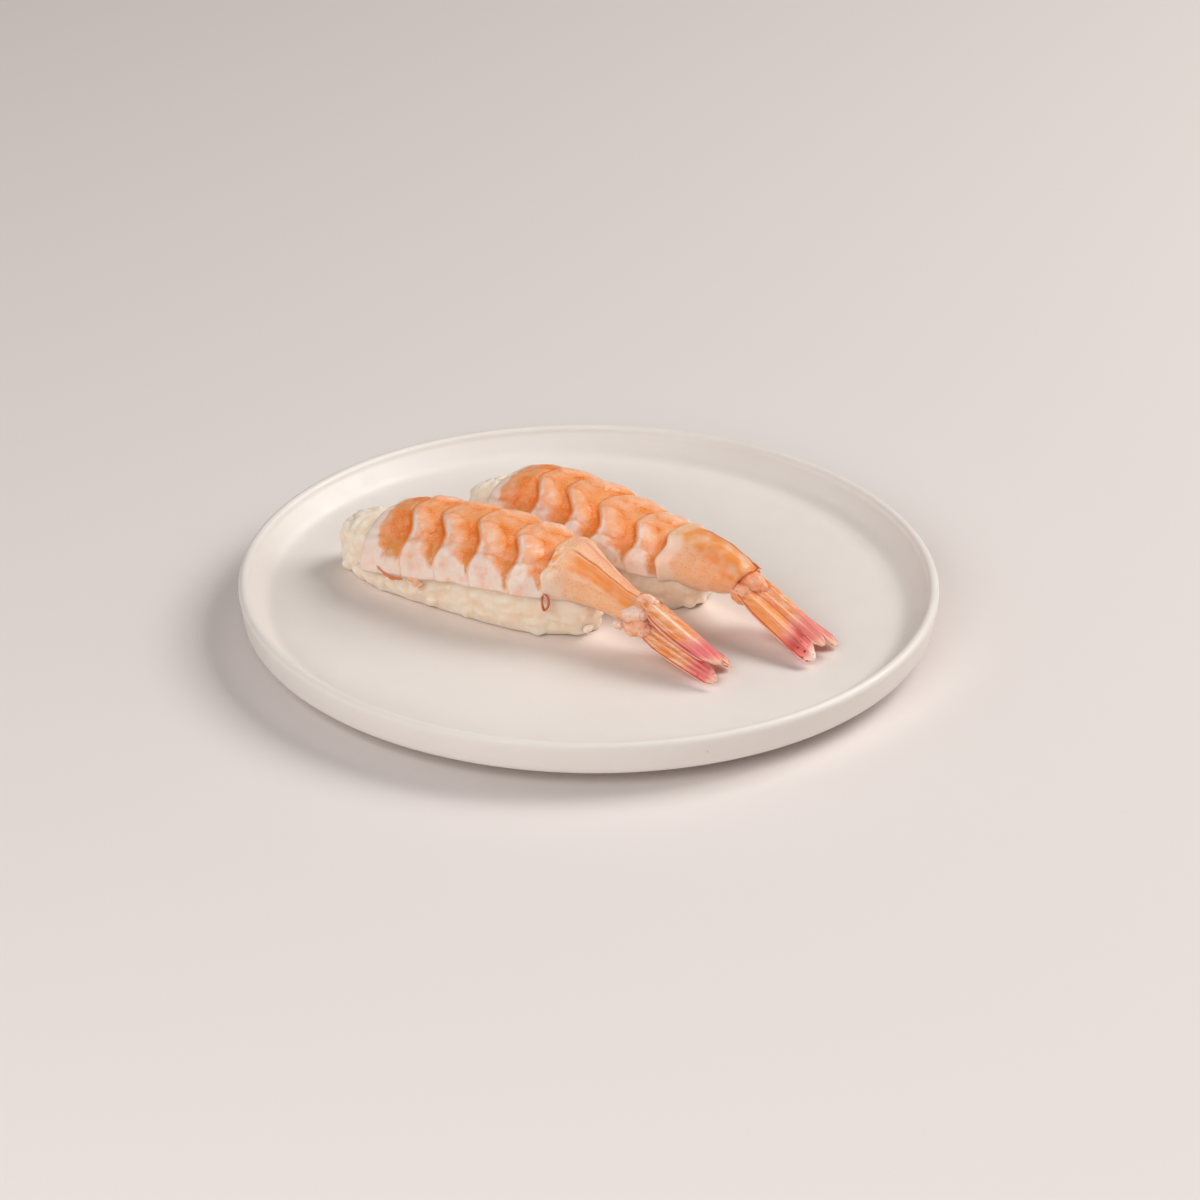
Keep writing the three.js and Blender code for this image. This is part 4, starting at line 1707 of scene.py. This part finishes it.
FRONT_BLADES = (
    Blade("inner_near", ((44.3, -5.0, 11.6), (62.9, -8.0, 5.0)), ((46.0, -1.8, 14.0), (65.4, -4.0, 4.8)), 3,
          camber=0.9, orange=0.6, streak=0.8, tip_slant=0.04, bulge=(0.22, 0.05), tip_clear=0.1, rose=1.0),
    Blade("inner_far", ((45.2, -2.0, 12.2), (64.0, -3.8, 4.4)), ((44.9, 0.4, 11.6), (65.4, -0.2, 1.6)), 2,
          orange=0.7, rose_start=0.5, tip_clear=0.1, rose=1.0, tip_round=0.14),
    Blade("outer_near", ((46.0, -7.2, 5.8), (64.8, -9.4, 1.0)), ((45.6, -4.4, 9.6), (65.3, -6.6, 3.2)), 4,
          orange=0.6, rose=0.9, spots=0.5, camber=0.6, tip_clear=0.25),
    Blade("outer_far", ((44.5, 0.2, 9.4), (64.2, -1.2, 1.2)), ((44.5, 3.0, 6.8), (62.5, 3.2, 0.7)), 2,
          orange=0.7),
    Blade("middle", ((44.5, -3.8, 9.2), (60.0, -5.6, 3.6)), ((44.5, -1.0, 9.2), (60.5, -3.2, 3.6)), 2,
          thickness=1.8, tip_round=0.3, rose=0.4),
)
FRONT_SCRAPS = (
    Scrap("red_thread", ((-16.9, -12.3, 8.0), (-14.4, -12.7, 6.9), (-12.7, -12.8, 6.4), (-9.7, -12.8, 6.9)),
          radius=0.34, orange=0.7, red=0.5),
    Scrap("red_loop",
          ((23.7, -9.6, 11.3), (23.4, -9.8, 9.6), (24.1, -10.0, 7.9), (24.9, -9.7, 8.9), (24.7, -9.4, 10.6)),
          radius=0.26, closed=True),
    Scrap("brown_scrap", ((-9.4, -11.9, 8.4), (-7.2, -12.4, 7.3), (-5.2, -12.3, 6.1)),
          radius=0.85, orange=0.4, red=0.1, clear=0.2),
    Scrap("pale_curl", ((-24.2, -9.6, 5.0), (-23.0, -9.9, 6.3), (-22.0, -10.2, 6.1), (-20.9, -10.4, 5.3)),
          radius=0.4, orange=0.0, red=0.0, clear=1.0),
)
BACK_FLESH = Flesh(
    crest=SoftLine(((-22.5, 14.8), (-14, 17.2), (-3, 17), (12, 15), (22.5, 14.2), (25.5, 12.6))),
    half_width=SoftLine(((-22.5, 11.4), (-14, 11.9), (8, 11.9), (17, 11), (22.5, 9.6), (25.5, 7.4))),
    skirt=SoftLine(((-22.5, 4.5), (-10, 6.5), (3, 8.3), (15, 7.6), (26, 7))),
    joints=(
        Joint(-13.4, -9, 0.3, 0.8),
        Joint(-5.7, 0.5, 0.36, 0.8, 0.6),
        Joint(3.4, 7.9, 0.4, 0.9, 0.5),
        Joint(13.4, 17.4, 0.3, 0.86, 0.3),
        Joint(22.6, 25, 0.45, 0.95, 0.7),
    ),
    start=-22.5,
    finish=26.2,
)
BACK_SHELL = Shell(
    crest=SoftLine(((22, 14.8), (26, 15.7), (31, 16.3), (37.5, 16.6), (42.8, 15.8), (48, 13.2))),
    bottom=SoftLine(((22, 4), (26, 3.8), (31, 3.9), (37, 5.6), (42.5, 7.6), (48, 8.4))),
    half_width=SoftLine(((22, 10.1), (25.5, 8.9), (29, 7), (33, 5.5), (37, 4.7), (42.5, 3.8), (48, 3.2))),
    roll=26,
    rear=(46.2, 43.6),
    panel=(1.05, 2.1),
    blotch=0.3,
    soft=0.42,
    ease=0.14,
    tint=0.32,
    torn=0.0,
    # stronger painted sheen on this shell
    painted_sheen=0.2,
    line=0.09,
)
BACK_LUMPS = (
    Lump("tail_spike", (41.6, -1.6, 15.0), (47.0, -1.9, 14.1), 0.8, 0.8, 0.6, 0.9, 0.0),
    Lump("fan_root", (42.6, -3.6, 11.2), (50.0, -3.6, 10.9), 2.9, 0.4, 0.6, 0.1, 0.1),
    Lump("fan_knob_near", (41.8, -5.4, 9.4), (48.0, -6.2, 9.4), 2.3, 0.1, 0.6, 0.1, 0.2),
    Lump("fan_knob_far", (42.6, -1.2, 8.6), (48.4, -1.2, 9.0), 2.3, 0.1, 0.3, 0.0, 0.4),
)
BACK_BLADES = (
    Blade("outer_near", ((45.4, -8.4, 9.0), (66.9, -10.9, 0.9)), ((47.0, -4.8, 10.8), (65.6, -6.2, 3.2)), 2,
          orange=1.0, spots=1.0, tip_clear=0.7, rose=0.9, rose_start=0.5, band=0.7, streak=0.3),
    Blade("inner_near", ((46.6, -4.8, 9.8), (64.7, -6.6, 3.2)), ((46.2, -2.4, 11.8), (67.0, -3.8, 4.0)), 3,
          orange=0.6, streak=0.4, rose=0.8, rose_start=0.5),
    Blade("inner_far", ((46.2, -2.4, 11.6), (65.5, -3.2, 3.8)), ((45.4, -0.4, 11.8), (67.6, -1.2, 1.6)), 2,
          orange=0.5, rose_start=0.45, tip_clear=0.2, tip_round=0.14),
    Blade("outer_far", ((45.5, -0.6, 8.6), (66.0, -1.2, 1.2)), ((45.5, 2.2, 7.2), (64.5, 3.0, 0.7)), 2,
          orange=0.7),
    Blade("middle", ((46, -4.2, 8.6), (61.5, -5.4, 3.0)), ((46, -1.6, 8.6), (62, -3.0, 3.0)), 2,
          thickness=1.8, tip_round=0.3, rose=0.4),
)


def pieces(floor: float) -> tuple[Nigiri, Nigiri]:
    """Describe the two pieces of nigiri.

    Args:
        floor: Height of the plate's flat inside, in mm.

    Returns:
        The piece nearer the viewer, and the one behind it.
    """
    front = Nigiri(
        name="front",
        axes=Axes((-24.6, -0.8), -31.5, floor),
        sway=SoftLine(((-30, 0), (14, 0), (28, 0), (43, -2.4), (66, -4))),
        rice=RiceBlock(length=64, width=21.4, height=13.6, middle=-0.8, seed=3),
        flesh=FRONT_FLESH,
        tail=Tail(FRONT_SHELL, FRONT_LUMPS, FRONT_BLADES, FRONT_SCRAPS),
    )
    back = Nigiri(
        name="back",
        axes=Axes((0.5, 16.3), -38, floor),
        sway=SoftLine(((-30, 0), (18, 0), (30, -0.8), (46, -4), (67, -4.5))),
        rice=RiceBlock(length=64, width=21.4, height=12.4, middle=0.0, seed=11, taper=0.12),
        flesh=BACK_FLESH,
        tail=Tail(BACK_SHELL, BACK_LUMPS, BACK_BLADES),
    )
    return front, back


@dataclass(frozen=True)
class Softbox:
    """A large soft light."""

    name: str
    place: tuple[float, float, float]
    size: float
    power: float
    aim: tuple[float, float, float]
    tint: str

    def build(self) -> None:
        """Hang the light."""
        data = bpy.data.lights.new(self.name, "AREA")
        data.size = self.size
        data.energy = self.power
        data.color = colour(self.tint)[:3]
        light = bpy.data.objects.new(self.name, data)
        light.location = self.place
        towards = Vector(self.aim) - Vector(self.place)
        light.rotation_euler = towards.to_track_quat("-Z", "Y").to_euler()
        bpy.context.scene.collection.objects.link(light)


@dataclass(frozen=True)
class Studio:
    """The floor, the lights and the camera."""

    floor_size: float = 6.0
    world_tint: str = "#ffe2d4"
    world_light: float = 0.04
    eye: tuple[float, float, float] = (2.414, -809.658, 429.462)
    elevation: float = 27.68
    roll: float = 0.66
    lens: float = 127.5
    sensor: float = 36.0
    lights: tuple[Softbox, ...] = (
        Softbox("key", (0.87, 0.38, 0.92), 0.75, 12.5, (0.0, 0.0, 0.0), "#fffefc"),
        Softbox("side", (0.9, 0.1, 0.5), 0.5, 1.8, (0.0, 0.0, 0.0), "#fffefc"),
        Softbox("front", (-0.3, -0.77, 0.53), 0.65, 5.8, (-0.05, -0.35, 0.0), "#ffffff"),
        Softbox("left", (-0.9, 0.1, 0.5), 0.5, 1.4, (0.0, 0.0, 0.0), "#ffffff"),
    )

    def build(self) -> None:
        """Set up the studio."""
        self.lay_floor()
        self.light()
        self.set_camera()
        scene = bpy.context.scene
        scene.view_settings.view_transform = "Standard"
        scene.view_settings.look = "None"

    def lay_floor(self) -> None:
        """Lay the plain pale floor that the plate stands on."""
        bm = bmesh.new()
        bmesh.ops.create_grid(bm, x_segments=1, y_segments=1, size=self.floor_size / 2)
        mesh = bpy.data.meshes.new("floor")
        bm.to_mesh(mesh)
        bm.free()
        mesh.materials.append(PaleFloor().material())
        floor = bpy.data.objects.new("floor", mesh)
        bpy.context.scene.collection.objects.link(floor)

    def light(self) -> None:
        """Light the scene softly from all round, most from the right and behind."""
        world = bpy.data.worlds.new("studio")
        world.use_nodes = True
        background = world.node_tree.nodes["Background"]
        background.inputs["Color"].default_value = colour(self.world_tint)
        background.inputs["Strength"].default_value = self.world_light
        bpy.context.scene.world = world
        for box in self.lights:
            box.build()

    def set_camera(self) -> None:
        """Put the camera at the photograph's viewing angle."""
        data = bpy.data.cameras.new("camera")
        data.lens = self.lens
        data.sensor_width = self.sensor
        camera = bpy.data.objects.new("camera", data)
        tilt = Matrix.Rotation(math.radians(90 - self.elevation), 4, "X")
        roll = Matrix.Rotation(math.radians(self.roll), 4, "Z")
        camera.matrix_world = Matrix.Translation(Vector(self.eye) * MM) @ tilt @ roll
        bpy.context.scene.collection.objects.link(camera)
        bpy.context.scene.camera = camera


def main() -> None:
    """Build the dish, dress it and set up the studio."""
    logging.basicConfig(level=logging.INFO, format="%(name)s: %(message)s")
    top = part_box("plate")[1]
    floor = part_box("front_rice")[0].z / MM - GAP
    Plate(top.x / MM, top.z / MM, floor).build(GlazedStoneware().material())
    finishes = Finishes(
        rice=BoiledRice().material(),
        grain=BoiledRice(name="boiled_rice_grain", scatter=0.8).material(),
        flesh=BoiledFlesh().material(),
        shell=BoiledShell().material(),
        fan=BoiledShell(
            name="boiled_shrimp_fan",
            peach="#ffd0ae",
            panel="#fea968",
            ridge="#c04434",
            deep="#ea8646",
            clearness=0.35,
            scatter=0.7,
            mottle=0.24,
        ).material(),
    )
    for piece in pieces(floor):
        piece.build(finishes)
    Studio().build()
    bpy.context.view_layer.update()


if __name__ == "__main__":
    main()
